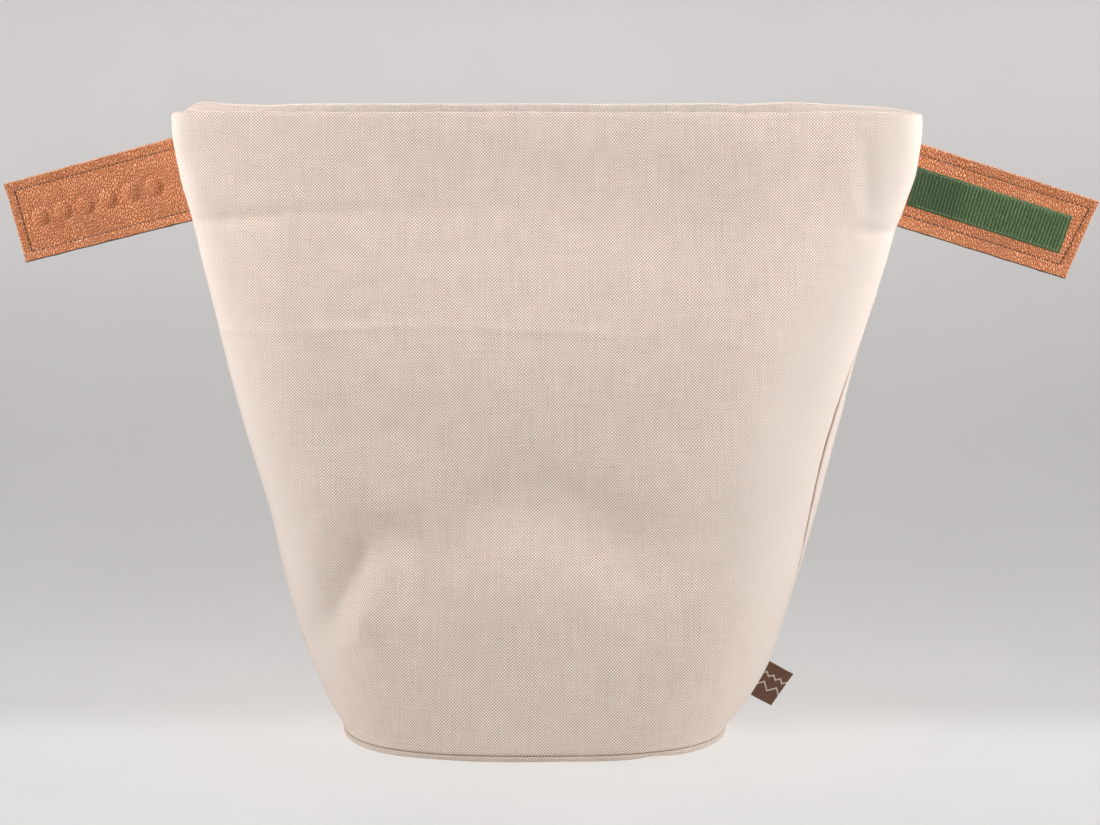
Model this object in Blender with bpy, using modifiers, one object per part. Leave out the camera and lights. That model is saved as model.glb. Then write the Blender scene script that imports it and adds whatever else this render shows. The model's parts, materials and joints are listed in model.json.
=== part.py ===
"""A linen bread bag that stands open, with a leather strap caught in each side seam.

The wall is a front panel and a back panel that meet at the side seams, and both stand on an
oval base whose edge turns up to the wall. X runs to the right, Y to the back and Z up. The
origin is on the floor, under the middle of the bag with its straps. Sizes are in millimetres
until a mesh is made, and MM turns them into metres there.
"""

import math
from collections import namedtuple

import bmesh
import bpy
from mathutils import Vector

MM = 0.001
BAG = "linen_bread_bag"

# Cloth of the wall and the base
CLOTH = 1.8                 # thickness of one layer with its thread loft
HEM = 2.8                   # thickness where the rim is turned in and doubled
HEM_EDGE = 264.0            # height of the hem's lower edge
RIM = 316.0                 # height of the rim in the middle of a panel
BASE_SEAM = 3.0             # height of the seam that joins the wall to the base
SEAM_GAP = 0.3              # space left between pieces that touch
SEAM_OPENING = 0.25         # how far each panel stands back from the middle of a side seam
HEM_OPENING = 0.8           # and where the doubled hem turns sharply into the seam
SEAM_BAND = 2.0             # upright strip of the wall just above the base seam
BASE_TURN = 2.2             # radius to which the base's edge turns up from the floor

# The rim droops to its ends: how far, and how sudden the droop is
Droop = namedtuple("Droop", "drop power")
LEFT_DROOP = Droop(1.5, 24)
RIGHT_DROOP = Droop(4.5, 8)
DROOP_START = 250.0         # the droop fades out downwards to this height

# How finely the cloth is divided
ROWS = 28                   # rows of a panel from the base seam to the rim
ROW_GROWTH = 1.1            # above 1 the rows are closer together near the base
COLUMNS = 24                # even columns of a panel between its seam margins
SEAM_MARGIN = (0.0, 1.0, 3.0, 6.5, 12.0)    # columns beside a seam, measured along the cloth
OUTLINE_STEPS = 480         # points that an outline is measured with
BASE_STEPS = 56             # points round the base
BASE_RINGS = (0.3, 0.6, 0.85)   # rings of the flat of the base, as shares of its outline

# The bag's outline at rising heights: how far it reaches to the left, right, front and back,
# how square its ends are (2 is an ellipse), where the side seams lie between front and back,
# and how far the left end is slewed
Level = namedtuple(
    "Level", "height left right front back square left_seam right_seam slew")
LEVELS = (
    Level(4.0, 105.0, 89.5, 82.5, 82.5, 2.75, 0.0, 0.0, 0.0),
    Level(10.0, 108.5, 95.0, 80.8, 81.2, 2.70, -3.0, 0.0, 0.0),
    Level(20.0, 114.0, 102.6, 78.0, 78.8, 2.62, -8.0, 0.0, 0.0),
    Level(35.0, 120.8, 111.0, 74.0, 75.0, 2.45, -14.0, 0.0, 0.0),
    Level(54.0, 127.4, 117.8, 68.8, 70.0, 2.55, -18.0, -2.5, 0.0),
    Level(80.0, 134.2, 125.6, 61.5, 62.5, 2.70, -17.0, -15.5, 0.0),
    Level(112.0, 141.4, 134.4, 52.5, 53.5, 2.80, -10.0, -21.0, 0.0),
    Level(150.0, 152.3, 144.0, 46.0, 45.5, 2.90, -5.0, -20.5, 0.0),
    Level(188.0, 162.4, 153.4, 41.0, 38.5, 2.95, 0.0, -13.0, 0.0),
    Level(220.0, 169.6, 163.2, 35.5, 32.5, 3.00, 1.8, -3.0, 1.0),
    Level(250.0, 176.2, 172.3, 29.5, 27.5, 3.10, 3.6, 3.2, 2.0),
    Level(266.0, 180.2, 177.6, 26.8, 25.5, 3.30, 4.8, 4.2, 3.0),
    Level(284.0, 184.4, 182.8, 25.5, 23.5, 3.60, 6.1, 5.2, 3.5),
    Level(302.0, 187.0, 185.2, 25.5, 22.5, 4.00, 7.0, 5.7, 4.0),
    Level(316.0, 187.4, 185.6, 25.0, 21.5, 4.50, 7.2, 5.8, 4.0),
)

# Soft folds: each runs between two places on a panel, given by their distance to the right of
# the middle and their height. It bows to one side, and stands out of the cloth or sinks in.
Fold = namedtuple("Fold", "from_x from_z to_x to_z bow spread rise")
FRONT_FOLDS = (
    Fold(-99.0, 93.0, -113.0, 56.0, 0.0, 11.0, -4.2),       # valley beside the pinch
    Fold(-77.0, 91.0, -92.0, 66.0, 0.0, 9.5, 5.0),          # ridge of the pinch
    Fold(-46.0, 88.0, -60.0, 54.0, 0.0, 15.0, -0.8),        # hollow behind the ridge
    Fold(-62.0, 97.0, 40.0, 102.0, 24.0, 21.0, -6.2),       # arc above the belly
    Fold(46.0, 110.0, 72.0, 106.0, 0.0, 24.0, -1.2),        # the arc's broad right end
    Fold(-16.0, 146.0, 20.0, 138.0, 0.0, 26.0, -0.9),       # broad hollow above the arc
    Fold(-14.0, 86.0, 60.0, 46.0, 0.0, 30.0, 1.6),          # belly
    Fold(-172.0, 262.0, -70.0, 265.0, 0.0, 8.0, -0.6),      # crease under the left strap
    Fold(150.0, 254.5, 176.0, 254.0, 0.0, 8.0, -1.0),       # crease under the right strap
    Fold(-112.0, 150.0, -52.0, 148.0, 0.0, 24.0, -1.4),     # soft hollow on the left
    Fold(-124.0, 270.0, -110.0, 140.0, 0.0, 32.0, 3.8),     # where the wall turns to the left
    Fold(102.0, 296.0, 88.0, 84.0, 0.0, 26.0, 2.6),         # where it turns to the right
)
BACK_FOLDS = (
    Fold(-52.0, 118.0, 62.0, 108.0, 18.0, 18.0, -4.0),      # arc above the back's belly
    Fold(-24.0, 70.0, 30.0, 74.0, 0.0, 30.0, 3.5),          # the back's belly
    Fold(92.0, 108.0, 78.0, 60.0, 0.0, 13.0, -3.5),         # shallow valley on the right
    Fold(-150.0, 262.0, -60.0, 264.0, 0.0, 9.0, -1.8),      # crease under the left strap
)
FOLD_CLEAR = 22.0           # folds fade out within this distance of a side seam
FOLD_FLOOR = 26.0           # and below this height they fade out towards the base seam

# A strip of leather or woven tape: where the middle of it leaves the wall, how far it swings
# to the back and drops, its length and widths, and how far its ends are cut on the slant
Strip = namedtuple(
    "Strip", "side x y z swing drop inside length root_width tip_width root_slant tip_slant")
LEATHER = 1.2               # thickness of one layer of leather
LEFT_STRAP = Strip(-1, -181.8, 5.6, 279.9, 20.0, 15.6, 9.0, 100.4, 42.8, 41.6, 0.0, 0.7)
RIGHT_STRAP = Strip(1, 180.0, 4.8, 276.5, 12.0, 18.3, 9.0, 96.6, 43.1, 42.7, 0.0, 4.2)
HOOK_TAPE = Strip(1, 180.0, 4.8, 276.5, 12.0, 18.3, -1.4, 87.0, 20.0, 20.0, -1.2, 0.6)
WOVEN_LABEL = Strip(1, 106.3, 0.0, 24.8, 0.0, 29.0, 7.0, 14.0, 19.8, 19.7, -0.6, 1.8)
TAPE_THICKNESS = 1.1
LABEL_LAYER = 0.5           # thickness of one layer of the label, which is folded double
STRIP_STATIONS = 9          # rows of a strip from its root to its tip
STRIP_COLUMNS = 4           # columns across a strip
TURN_STEPS = 4              # steps round the fold at a doubled strip's tip

# Where a strip passes between the panels, the seam stands open on each side of the strip's
# middle, from about a row of the cloth below the strip to a row above it
Pocket = namedtuple("Pocket", "side low high half_width")
STRAP_POCKET = 2.4          # half of the opening at a strap
STRAP_POCKET_MARGIN = 13.0  # how far that opening runs past the strap, up and down
LABEL_POCKET = 1.1
LABEL_POCKET_MARGIN = 9.5

# Colours as linear red, green and blue, with a roughness
Finish = namedtuple("Finish", "red green blue roughness")
LINEN = Finish(0.73, 0.60, 0.50, 0.9)
TAN_LEATHER = Finish(0.62, 0.22, 0.10, 0.55)
GREEN_TAPE = Finish(0.035, 0.10, 0.035, 0.7)
BROWN_WEAVE = Finish(0.13, 0.065, 0.03, 0.8)


def clear_scene():
    """Remove every object that the scene starts with."""
    for scene_object in list(bpy.data.objects):
        bpy.data.objects.remove(scene_object, do_unlink=True)


def ease(before, start, end, after, heights, height):
    """Return a value on the smooth curve through four neighbouring rows."""
    low, high = heights[1], heights[2]
    span = high - low
    slope_start = (end - before) / (high - heights[0])
    slope_end = (after - start) / (heights[3] - low)
    part = (height - low) / span
    square, cube = part * part, part ** 3
    return ((2 * cube - 3 * square + 1) * start
            + (cube - 2 * square + part) * span * slope_start
            + (3 * square - 2 * cube) * end
            + (cube - square) * span * slope_end)


def level_at(height):
    """Return the outline's sizes at any height, eased between the rows of LEVELS."""
    height = min(max(height, LEVELS[0].height), LEVELS[-1].height)
    index = 0
    while index < len(LEVELS) - 2 and LEVELS[index + 1].height < height:
        index += 1
    rows = [LEVELS[min(max(index + step, 0), len(LEVELS) - 1)] for step in (-1, 0, 1, 2)]
    heights = [row.height for row in rows]
    eased = [ease(*column, heights, height) for column in list(zip(*rows))[1:]]
    return Level(height, *eased)


def outline_point(level, angle):
    """Return a point of the outline; the angle runs from the right end through the back."""
    across, along = math.sin(angle), math.cos(angle)
    reach = (abs(along) ** level.square + abs(across) ** level.square) ** (-1.0 / level.square)
    half_width = (level.left + level.right) / 2
    middle = (level.right - level.left) / 2
    depth = level.back if across > 0 else level.front
    slewed = level.slew * reach * across * max(0.0, -along * reach)
    return Vector((middle + half_width * reach * along + slewed, depth * reach * across, 0.0))


def seam_angle(level, seam_y, side):
    """Return the angle at which the outline passes a side seam."""
    depth = level.back if seam_y > 0 else level.front
    across = seam_y / depth
    along = (1.0 - abs(across) ** level.square) ** (1.0 / level.square)
    return math.atan2(across, side * along)


def panel_course(level, face):
    """Return the outline from the left seam to the right seam, by the front or the back."""
    right = seam_angle(level, level.right_seam, 1)
    left = seam_angle(level, level.left_seam, -1) % (2 * math.pi)
    if face == "front":
        left -= 2 * math.pi
    steps = [index / OUTLINE_STEPS for index in range(OUTLINE_STEPS + 1)]
    return [outline_point(level, left + (right - left) * step) for step in steps]


def lengths_along(course):
    """Return the distance along a course at each of its points."""
    distances = [0.0]
    for start, end in zip(course, course[1:]):
        distances.append(distances[-1] + (end - start).length)
    return distances


def place_on(course, distances, wanted, face):
    """Return the point at a distance along a course, and the direction out of the cloth."""
    index = 0
    while index < len(distances) - 2 and distances[index + 1] < wanted:
        index += 1
    start, end = course[index], course[index + 1]
    part = (wanted - distances[index]) / (distances[index + 1] - distances[index])
    heading = (end - start).normalized()
    outward = Vector((heading.y, -heading.x, 0.0))
    if face == "back":
        outward = -outward
    return start.lerp(end, part), outward


def distance_to_fold(fold, x, z):
    """Return how far a place is from the middle line of a fold."""
    start, end = Vector((fold.from_x, fold.from_z)), Vector((fold.to_x, fold.to_z))
    course = end - start
    place = Vector((x, z)) - start
    part = min(max(place.dot(course) / course.length_squared, 0.0), 1.0)
    bow = Vector((-course.y, course.x)).normalized() * fold.bow * (4 * part * (1 - part))
    return (place - course * part - bow).length


def soft_step(value):
    """Ease from 0 to 1 as the value goes from 0 to 1."""
    value = min(max(value, 0.0), 1.0)
    return value * value * (3 - 2 * value)


def fold_rise(folds, x, z, seam_distance):
    """Return how far the folds lift the cloth at a place, fading out at its seams."""
    rise = sum(fold.rise * math.exp(-(distance_to_fold(fold, x, z) / fold.spread) ** 2)
               for fold in folds)
    return rise * soft_step(seam_distance / FOLD_CLEAR) * soft_step(z / FOLD_FLOOR)


def pocket_for(strip, half_width, margin):
    """Return the stretch of seam that opens for a strip."""
    reach = strip.root_width / 2 + margin
    return Pocket(strip.side, strip.z - reach, strip.z + reach, half_width)


POCKETS = (pocket_for(LEFT_STRAP, STRAP_POCKET, STRAP_POCKET_MARGIN),
           pocket_for(RIGHT_STRAP, STRAP_POCKET, STRAP_POCKET_MARGIN),
           pocket_for(WOVEN_LABEL, LABEL_POCKET, LABEL_POCKET_MARGIN))


def seam_opening(side, height):
    """Return how far a panel's edge stands back from the middle of the side seam."""
    for pocket in POCKETS:
        if pocket.side == side and pocket.low <= height <= pocket.high:
            return pocket.half_width
    return HEM_OPENING if height > HEM_EDGE else SEAM_OPENING


def rim_droop(sideways, height):
    """Return how far the cloth hangs lower towards the ends of the rim; sideways is -1 to 1."""
    droop = LEFT_DROOP if sideways < 0 else RIGHT_DROOP
    share = soft_step((height - DROOP_START) / (RIM - DROOP_START))
    return droop.drop * abs(sideways) ** droop.power * share


def row_heights():
    """Return the heights of a panel's rows, from the base seam to the rim."""
    first = BASE_SEAM + SEAM_GAP
    start = first + SEAM_BAND
    steps = [(index / ROWS) ** ROW_GROWTH for index in range(ROWS + 1)]
    return [first] + [start + (RIM - start) * step for step in steps]


def panel_grid(face, folds):
    """Return the rows of points on the outside of one panel, in millimetres."""
    grid = []
    for height in row_heights():
        level = level_at(height if height > BASE_SEAM + SEAM_GAP + SEAM_BAND else 0.0)
        course = panel_course(level, face)
        distances = lengths_along(course)
        start = seam_opening(-1, height)
        total = distances[-1] - seam_opening(1, height)
        places = [start + margin for margin in SEAM_MARGIN]
        end_places = [total - margin for margin in reversed(SEAM_MARGIN)]
        span = end_places[0] - places[-1]
        places += [places[-1] + span * step / COLUMNS for step in range(1, COLUMNS)]
        places += end_places
        row = []
        for wanted in places:
            point, outward = place_on(course, distances, wanted, face)
            seam_distance = min(wanted - start, total - wanted)
            point += outward * fold_rise(folds, point.x, height, seam_distance)
            sideways = 2 * (wanted - start) / (total - start) - 1
            point.z = height - rim_droop(sideways, height)
            row.append(point)
        grid.append(row)
    return grid


def mesh_from_grid(name, grid, flip=False):
    """Make a mesh object from rows of points, as an open surface."""
    work = bmesh.new()
    rows = [[work.verts.new(point * MM) for point in row] for row in grid]
    for below, above in zip(rows, rows[1:]):
        for index in range(len(below) - 1):
            corners = [below[index], below[index + 1], above[index + 1], above[index]]
            work.faces.new(reversed(corners) if flip else corners)
    mesh = bpy.data.meshes.new(name)
    work.to_mesh(mesh)
    work.free()
    return bpy.data.objects.new(name, mesh)


def finish_material(name, finish):
    """Make a Principled material of one colour and roughness."""
    material = bpy.data.materials.new(name)
    material.use_nodes = True
    shader = material.node_tree.nodes["Principled BSDF"]
    shader.inputs["Base Color"].default_value = (finish.red, finish.green, finish.blue, 1.0)
    shader.inputs["Roughness"].default_value = finish.roughness
    shader.inputs["Metallic"].default_value = 0.0
    return material


def add_piece(collection, piece, material):
    """Give a piece its material, shade it smooth and put it in the bag's collection."""
    piece.data.materials.append(material)
    piece.data.shade_smooth()
    collection.objects.link(piece)


def thicken(piece, thickness, offset):
    """Turn an open surface into a sheet of even thickness."""
    solid = piece.modifiers.new("thickness", "SOLIDIFY")
    solid.thickness = thickness * MM
    solid.offset = offset
    solid.use_even_offset = True
    return solid


def build_panel(collection, material, name, face, folds):
    """Loft one wall panel through its outlines, thicker where the rim's hem doubles it."""
    grid = panel_grid(face, folds)
    piece = mesh_from_grid(name, grid, flip=(face == "back"))
    hem = piece.vertex_groups.new(name="hem")
    across = len(grid[0])
    hem_rows = [index for index, height in enumerate(row_heights()) if height > HEM_EDGE]
    hem.add([row * across + column for row in hem_rows for column in range(across)], 1.0, "REPLACE")
    add_piece(collection, piece, material)
    solid = thicken(piece, HEM, -1.0)
    solid.vertex_group = hem.name
    solid.thickness_vertex_group = CLOTH / HEM


def base_rings():
    """Return the base's rings: how far each is drawn in from the outline, and its height."""
    corner = [(BASE_TURN * (1 - math.sin(angle)), BASE_TURN * (1 - math.cos(angle)))
              for angle in (0.0, math.pi / 6, math.pi / 3, math.pi / 2)]
    return corner + [(0.0, BASE_SEAM)]


def build_base(collection, material):
    """Make the oval base: flat on the floor, its edge turned up to the wall's seam."""
    level = level_at(0.0)
    angles = [2 * math.pi * index / BASE_STEPS for index in range(BASE_STEPS)]
    outline = [outline_point(level, angle) for angle in angles]
    middle = sum(outline, Vector((0.0, 0.0, 0.0))) / BASE_STEPS
    rings = []
    for share in BASE_RINGS:
        rings.append([middle.lerp(point, share) for point in outline])
    for inset, height in base_rings():
        ring = []
        for index, point in enumerate(outline):
            heading = outline[(index + 1) % BASE_STEPS] - outline[index - 1]
            outward = Vector((heading.y, -heading.x, 0.0)).normalized()
            ring.append(point - outward * inset + Vector((0.0, 0.0, height)))
        rings.append(ring)
    work = bmesh.new()
    centre = work.verts.new(middle * MM)
    loops = [[work.verts.new(point * MM) for point in ring] for ring in rings]
    for index in range(BASE_STEPS):
        after = (index + 1) % BASE_STEPS
        work.faces.new((centre, loops[0][after], loops[0][index]))
        for inner, outer in zip(loops, loops[1:]):
            work.faces.new((inner[index], inner[after], outer[after], outer[index]))
    mesh = bpy.data.meshes.new("base_panel")
    work.to_mesh(mesh)
    work.free()
    piece = bpy.data.objects.new("base_panel", mesh)
    add_piece(collection, piece, material)
    thicken(piece, CLOTH, -1.0)


def strip_point(strip, along, across, off_face):
    """Return a point of a strip: along it, across it upwards, and off its middle plane."""
    swing, drop = math.radians(strip.swing), math.radians(strip.drop)
    level_heading = Vector((strip.side * math.cos(swing), math.sin(swing), 0.0))
    heading = level_heading * math.cos(drop) - Vector((0.0, 0.0, math.sin(drop)))
    upward = level_heading * math.sin(drop) + Vector((0.0, 0.0, math.cos(drop)))
    backward = Vector((-strip.side * math.sin(swing), math.cos(swing), 0.0))
    share = along / strip.length
    width = strip.root_width + (strip.tip_width - strip.root_width) * share
    slant = strip.root_slant + (strip.tip_slant - strip.root_slant) * share
    root = Vector((strip.x, strip.y, strip.z))
    return (root + heading * (along + slant * across) + upward * width * across
            + backward * off_face)


def strip_grid(strip, course):
    """Return the rows of a strip's surface for a course of places along and off its plane."""
    shares = [index / STRIP_COLUMNS - 0.5 for index in range(STRIP_COLUMNS + 1)]
    return [[strip_point(strip, along, across, off_face) for across in shares]
            for along, off_face in course]


def doubled_course(strip, layer):
    """Return the course of a strip that runs out, turns round its tip and comes back."""
    bend = (layer + SEAM_GAP) / 2
    last = strip.length - bend - layer / 2
    stations = [-strip.inside + (last + strip.inside) * index / STRIP_STATIONS
                for index in range(STRIP_STATIONS + 1)]
    out = [(station, -bend) for station in stations]
    turn = [(last + bend * math.sin(math.pi * step / TURN_STEPS),
             -bend * math.cos(math.pi * step / TURN_STEPS)) for step in range(1, TURN_STEPS)]
    return out + turn + [(station, bend) for station in reversed(stations)]


def build_doubled_strip(collection, material, name, strip, layer):
    """Make a strip folded double at its tip, its two layers a little apart."""
    piece = mesh_from_grid(name, strip_grid(strip, doubled_course(strip, layer)))
    add_piece(collection, piece, material)
    thicken(piece, layer, 0.0)


def build_hook_tape(collection, material):
    """Lay the single strip of hook tape on the front face of the right strap."""
    off_face = -(LEATHER + SEAM_GAP / 2 + SEAM_GAP + TAPE_THICKNESS / 2)
    start = -HOOK_TAPE.inside
    run = HOOK_TAPE.length - start
    course = [(start + run * index / STRIP_STATIONS, off_face)
              for index in range(STRIP_STATIONS + 1)]
    piece = mesh_from_grid("hook_tape", strip_grid(HOOK_TAPE, course))
    add_piece(collection, piece, material)
    thicken(piece, TAPE_THICKNESS, 0.0)


def build_bag():
    """Build every piece of the bag in its own collection."""
    clear_scene()
    collection = bpy.data.collections.new(BAG)
    bpy.context.scene.collection.children.link(collection)
    linen = finish_material("linen", LINEN)
    leather = finish_material("tan_leather", TAN_LEATHER)
    build_panel(collection, linen, "front_panel", "front", FRONT_FOLDS)
    build_panel(collection, linen, "back_panel", "back", BACK_FOLDS)
    build_base(collection, linen)
    build_doubled_strip(collection, leather, "strap_left", LEFT_STRAP, LEATHER)
    build_doubled_strip(collection, leather, "strap_right", RIGHT_STRAP, LEATHER)
    build_hook_tape(collection, finish_material("green_tape", GREEN_TAPE))
    build_doubled_strip(collection, finish_material("brown_weave", BROWN_WEAVE),
                        "woven_label", WOVEN_LABEL, LABEL_LAYER)


build_bag()
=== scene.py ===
"""Dress a linen bread bag: woven cloth, leather straps, hook tape, a label and a pale stage.

X runs to the right, Y to the back and Z up, and the origin is on the floor under the bag. Shapes
are worked out in millimetres, and MM turns them into metres when a mesh is made.
"""

import json
import math
from collections import namedtuple

import bmesh
import bpy
import numpy as np
from bpy.props import FloatProperty, FloatVectorProperty, PointerProperty
from bpy.types import Operator, Panel, PropertyGroup
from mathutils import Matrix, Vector, noise

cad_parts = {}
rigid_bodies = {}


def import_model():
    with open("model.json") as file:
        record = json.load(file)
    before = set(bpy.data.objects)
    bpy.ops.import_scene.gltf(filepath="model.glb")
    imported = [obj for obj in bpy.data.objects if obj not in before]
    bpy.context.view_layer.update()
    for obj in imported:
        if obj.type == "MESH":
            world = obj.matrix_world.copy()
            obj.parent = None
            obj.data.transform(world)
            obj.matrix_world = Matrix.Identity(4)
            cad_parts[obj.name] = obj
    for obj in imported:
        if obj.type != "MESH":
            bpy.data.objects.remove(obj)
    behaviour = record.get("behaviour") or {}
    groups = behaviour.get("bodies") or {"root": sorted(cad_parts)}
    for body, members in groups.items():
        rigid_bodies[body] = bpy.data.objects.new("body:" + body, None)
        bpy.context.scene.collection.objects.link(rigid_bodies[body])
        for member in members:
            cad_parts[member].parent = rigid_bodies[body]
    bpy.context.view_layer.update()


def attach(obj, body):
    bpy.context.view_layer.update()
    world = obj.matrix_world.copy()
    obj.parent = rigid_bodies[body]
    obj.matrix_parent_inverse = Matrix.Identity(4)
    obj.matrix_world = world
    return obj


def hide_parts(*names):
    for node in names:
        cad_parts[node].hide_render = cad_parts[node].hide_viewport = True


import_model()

bl_info = {
    "name": "Linen Bread Bag",
    "version": (1, 0, 0),
    "blender": (4, 5, 0),
    "location": "View3D > Sidebar > Bread Bag",
    "description": "Dress a linen bread bag with cloth, leather straps, hook tape and a label",
    "category": "Add Mesh",
}

MM = 0.001
ROOT = "root"

# The wall: heights in millimetres
RIM = 316.0
HEM_EDGE = 264.0
WALL_FOOT = 3.3             # where the wall stands on the seam of the base
UPRIGHT_BAND = 2.0          # the wall rises upright this far before it leans out
DROOP_START = 250.0
FOOT_LAG = 1.3              # how far the outline lags behind the height at the foot
FOOT_LAG_REACH = 8.0        # and over what height that fades out
SEAM_ROLL = 2.0             # radius to which the cloth turns in at a side seam
FOOT_ROLL = 1.3             # and at the base seam
RIM_EASE = 0.7              # share by which the seams turn in less at the rim
RIM_EASE_START = 300.0      # from which height on
RIM_EASE_REACH = 14.0       # and over what height it comes on
SEAM_SHADE = 1.5            # how far from a seam the cloth is painted with the seam's shade
SHADE_TOP = 294.0           # where that shade starts to fade out towards the rim
SHADE_FADE = 10.0
RIM_SHADE = 0.3             # how much of that painted shade the fold of the rim has, darkening its brightly lit top

# Where the cloth beside a side seam is painted pale and smooth, a painted glare of the side lights
# that washes out the weave: how far evenly, then how far it fades out
GlareBand = namedtuple("GlareBand", "even fade")
LEFT_GLARE = GlareBand(6.0, 36.0)
RIGHT_GLARE = GlareBand(18.0, 42.0)
GLARE_SPREAD = 0.6           # share by which it fades out further at the foot than at the rim
SIDE_LIGHT_REACH = 110.0         # how far from a side seam the cloth is painted paler, as painted light of the side lights
HEM_STEP = 2.5              # over what height the cloth thickens to the hem
SEAM_TOUCH = 0.06           # how far each panel stays from the middle of a side seam
OUTLINE_STEPS = 900
WALL_ROWS = 178
WALL_COLUMNS = 178
SEAM_COLUMNS = (0.0, 0.15, 0.5, 1.0, 1.6, 2.4, 3.6, 5.2, 7.2, 9.6, 12.4)
FOOT_ROWS = (0.0, 0.15, 0.5, 1.0, 1.7, 2.6, 3.9)
RIM_TURN_STEPS = 7

Droop = namedtuple("Droop", "drop power")
LEFT_DROOP = Droop(1.5, 24)
RIGHT_DROOP = Droop(4.5, 8)

# The bag's outline at rising heights: how far it reaches to the left, right, front and back,
# how square its ends are, where the side seams lie, and how far the left end is slewed
Level = namedtuple(
    "Level", "height left right front back square left_seam right_seam slew")
LEVELS = (
    Level(4.0, 105.0, 89.5, 82.5, 82.5, 2.75, 0.0, 0.0, 0.0),
    Level(10.0, 108.5, 95.0, 80.8, 81.2, 2.70, -3.0, 0.0, 0.0),
    Level(20.0, 114.0, 102.6, 78.0, 78.8, 2.62, -8.0, 0.0, 0.0),
    Level(35.0, 120.8, 111.0, 74.0, 75.0, 2.45, -14.0, 0.0, 0.0),
    Level(54.0, 127.4, 117.8, 68.8, 70.0, 2.55, -18.0, -2.5, 0.0),
    Level(80.0, 134.2, 125.6, 61.5, 62.5, 2.70, -17.0, -15.5, 0.0),
    Level(112.0, 141.4, 134.4, 52.5, 53.5, 2.80, -10.0, -21.0, 0.0),
    Level(150.0, 152.3, 144.0, 46.0, 45.5, 2.90, -5.0, -20.5, 0.0),
    Level(188.0, 162.4, 153.4, 41.0, 38.5, 2.95, 0.0, -13.0, 0.0),
    Level(220.0, 169.6, 163.2, 35.5, 32.5, 3.00, 1.8, -3.0, 1.0),
    Level(250.0, 176.2, 172.3, 29.5, 27.5, 3.10, 3.6, 3.2, 2.0),
    Level(266.0, 180.2, 177.6, 26.8, 25.5, 3.30, 4.8, 4.2, 3.0),
    Level(284.0, 184.4, 182.8, 25.5, 23.5, 3.60, 6.1, 5.2, 3.5),
    Level(302.0, 187.0, 185.2, 25.5, 22.5, 4.00, 7.0, 5.7, 4.0),
    Level(316.0, 187.4, 185.6, 25.0, 21.5, 4.50, 7.2, 5.8, 4.0),
)

# Soft folds of a panel: from one place to another, by the distance to the right of the middle
# and the height, bowed to one side, and standing out of the cloth or sinking in
Fold = namedtuple("Fold", "from_x from_z to_x to_z bow spread rise")
FRONT_FOLDS = (
    Fold(-99.0, 93.0, -113.0, 56.0, 0.0, 11.0, -4.2),       # valley beside the pinch
    Fold(-77.0, 91.0, -92.0, 66.0, 0.0, 9.5, 5.0),          # ridge of the pinch
    Fold(-46.0, 88.0, -60.0, 54.0, 0.0, 15.0, -0.8),        # hollow behind the ridge
    Fold(-62.0, 97.0, 40.0, 102.0, 24.0, 21.0, -6.2),       # arc above the belly
    Fold(46.0, 110.0, 72.0, 106.0, 0.0, 24.0, -1.2),        # the arc's broad right end
    Fold(-16.0, 146.0, 20.0, 138.0, 0.0, 26.0, -0.9),       # broad hollow above the arc
    Fold(-14.0, 86.0, 60.0, 46.0, 0.0, 30.0, 1.6),          # belly
    Fold(-172.0, 262.0, -70.0, 265.0, 0.0, 8.0, -0.6),      # crease under the left strap
    Fold(150.0, 254.5, 176.0, 254.0, 0.0, 8.0, -1.0),       # crease under the right strap
    Fold(-112.0, 150.0, -52.0, 148.0, 0.0, 24.0, -1.4),     # soft hollow on the left
    Fold(-124.0, 270.0, -110.0, 140.0, 0.0, 32.0, 3.8),     # where the wall turns to the left
    Fold(102.0, 296.0, 88.0, 84.0, 0.0, 26.0, 2.6),         # where it turns to the right
)
BACK_FOLDS = (
    Fold(-52.0, 118.0, 62.0, 108.0, 18.0, 18.0, -4.0),      # arc above the back's belly
    Fold(-24.0, 70.0, 30.0, 74.0, 0.0, 30.0, 3.5),          # the back's belly
    Fold(92.0, 108.0, 78.0, 60.0, 0.0, 13.0, -3.5),         # shallow valley on the right
    Fold(-150.0, 262.0, -60.0, 264.0, 0.0, 9.0, -1.8),      # crease under the left strap
)
# Sharper creases, pressed in where the cloth was folded or pulled
FRONT_CREASES = (
    Fold(-171.0, 261.0, -136.0, 264.0, 0.0, 4.0, -1.35),    # tuck under the left strap
    Fold(-176.0, 277.0, -169.0, 262.0, 0.0, 6.0, 1.1),      # swell at its end
    Fold(-130.0, 266.5, -50.0, 267.0, 0.0, 3.6, -0.4),      # its fading end
    Fold(158.0, 255.0, 179.0, 254.0, 0.0, 3.2, -1.1),       # tuck under the right strap
    Fold(156.0, 300.0, 158.0, 268.0, 0.0, 5.0, -0.7),       # pull above it
    Fold(-163.0, 206.0, -75.0, 211.0, 0.0, 1.9, 0.62),      # pressed line across the left
    Fold(-114.0, 215.0, -92.0, 215.0, 0.0, 3.0, -0.5),      # hollow above it
    Fold(-75.0, 211.0, 20.0, 208.0, 0.0, 1.9, 0.56),        # pressed line across the middle
    Fold(20.0, 208.0, 96.0, 202.5, 0.0, 1.9, 0.42),         # pressed line across the right
    Fold(-94.0, 99.0, -109.0, 66.0, 0.0, 5.5, -1.0),        # bottom of the valley
    Fold(-89.0, 101.0, -88.0, 84.0, 0.0, 16.0, -3.8),       # dip at the head of the valley
    Fold(48.0, 89.0, -56.0, 127.0, 0.0, 22.0, -0.7),        # depth along the arc
    Fold(-77.0, 92.0, -90.0, 70.0, 0.0, 5.5, 0.6),          # crest of the ridge
    Fold(-125.0, 113.0, -75.0, 111.0, 0.0, 6.0, -0.5),      # shallow pull above the pinch
)
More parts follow.
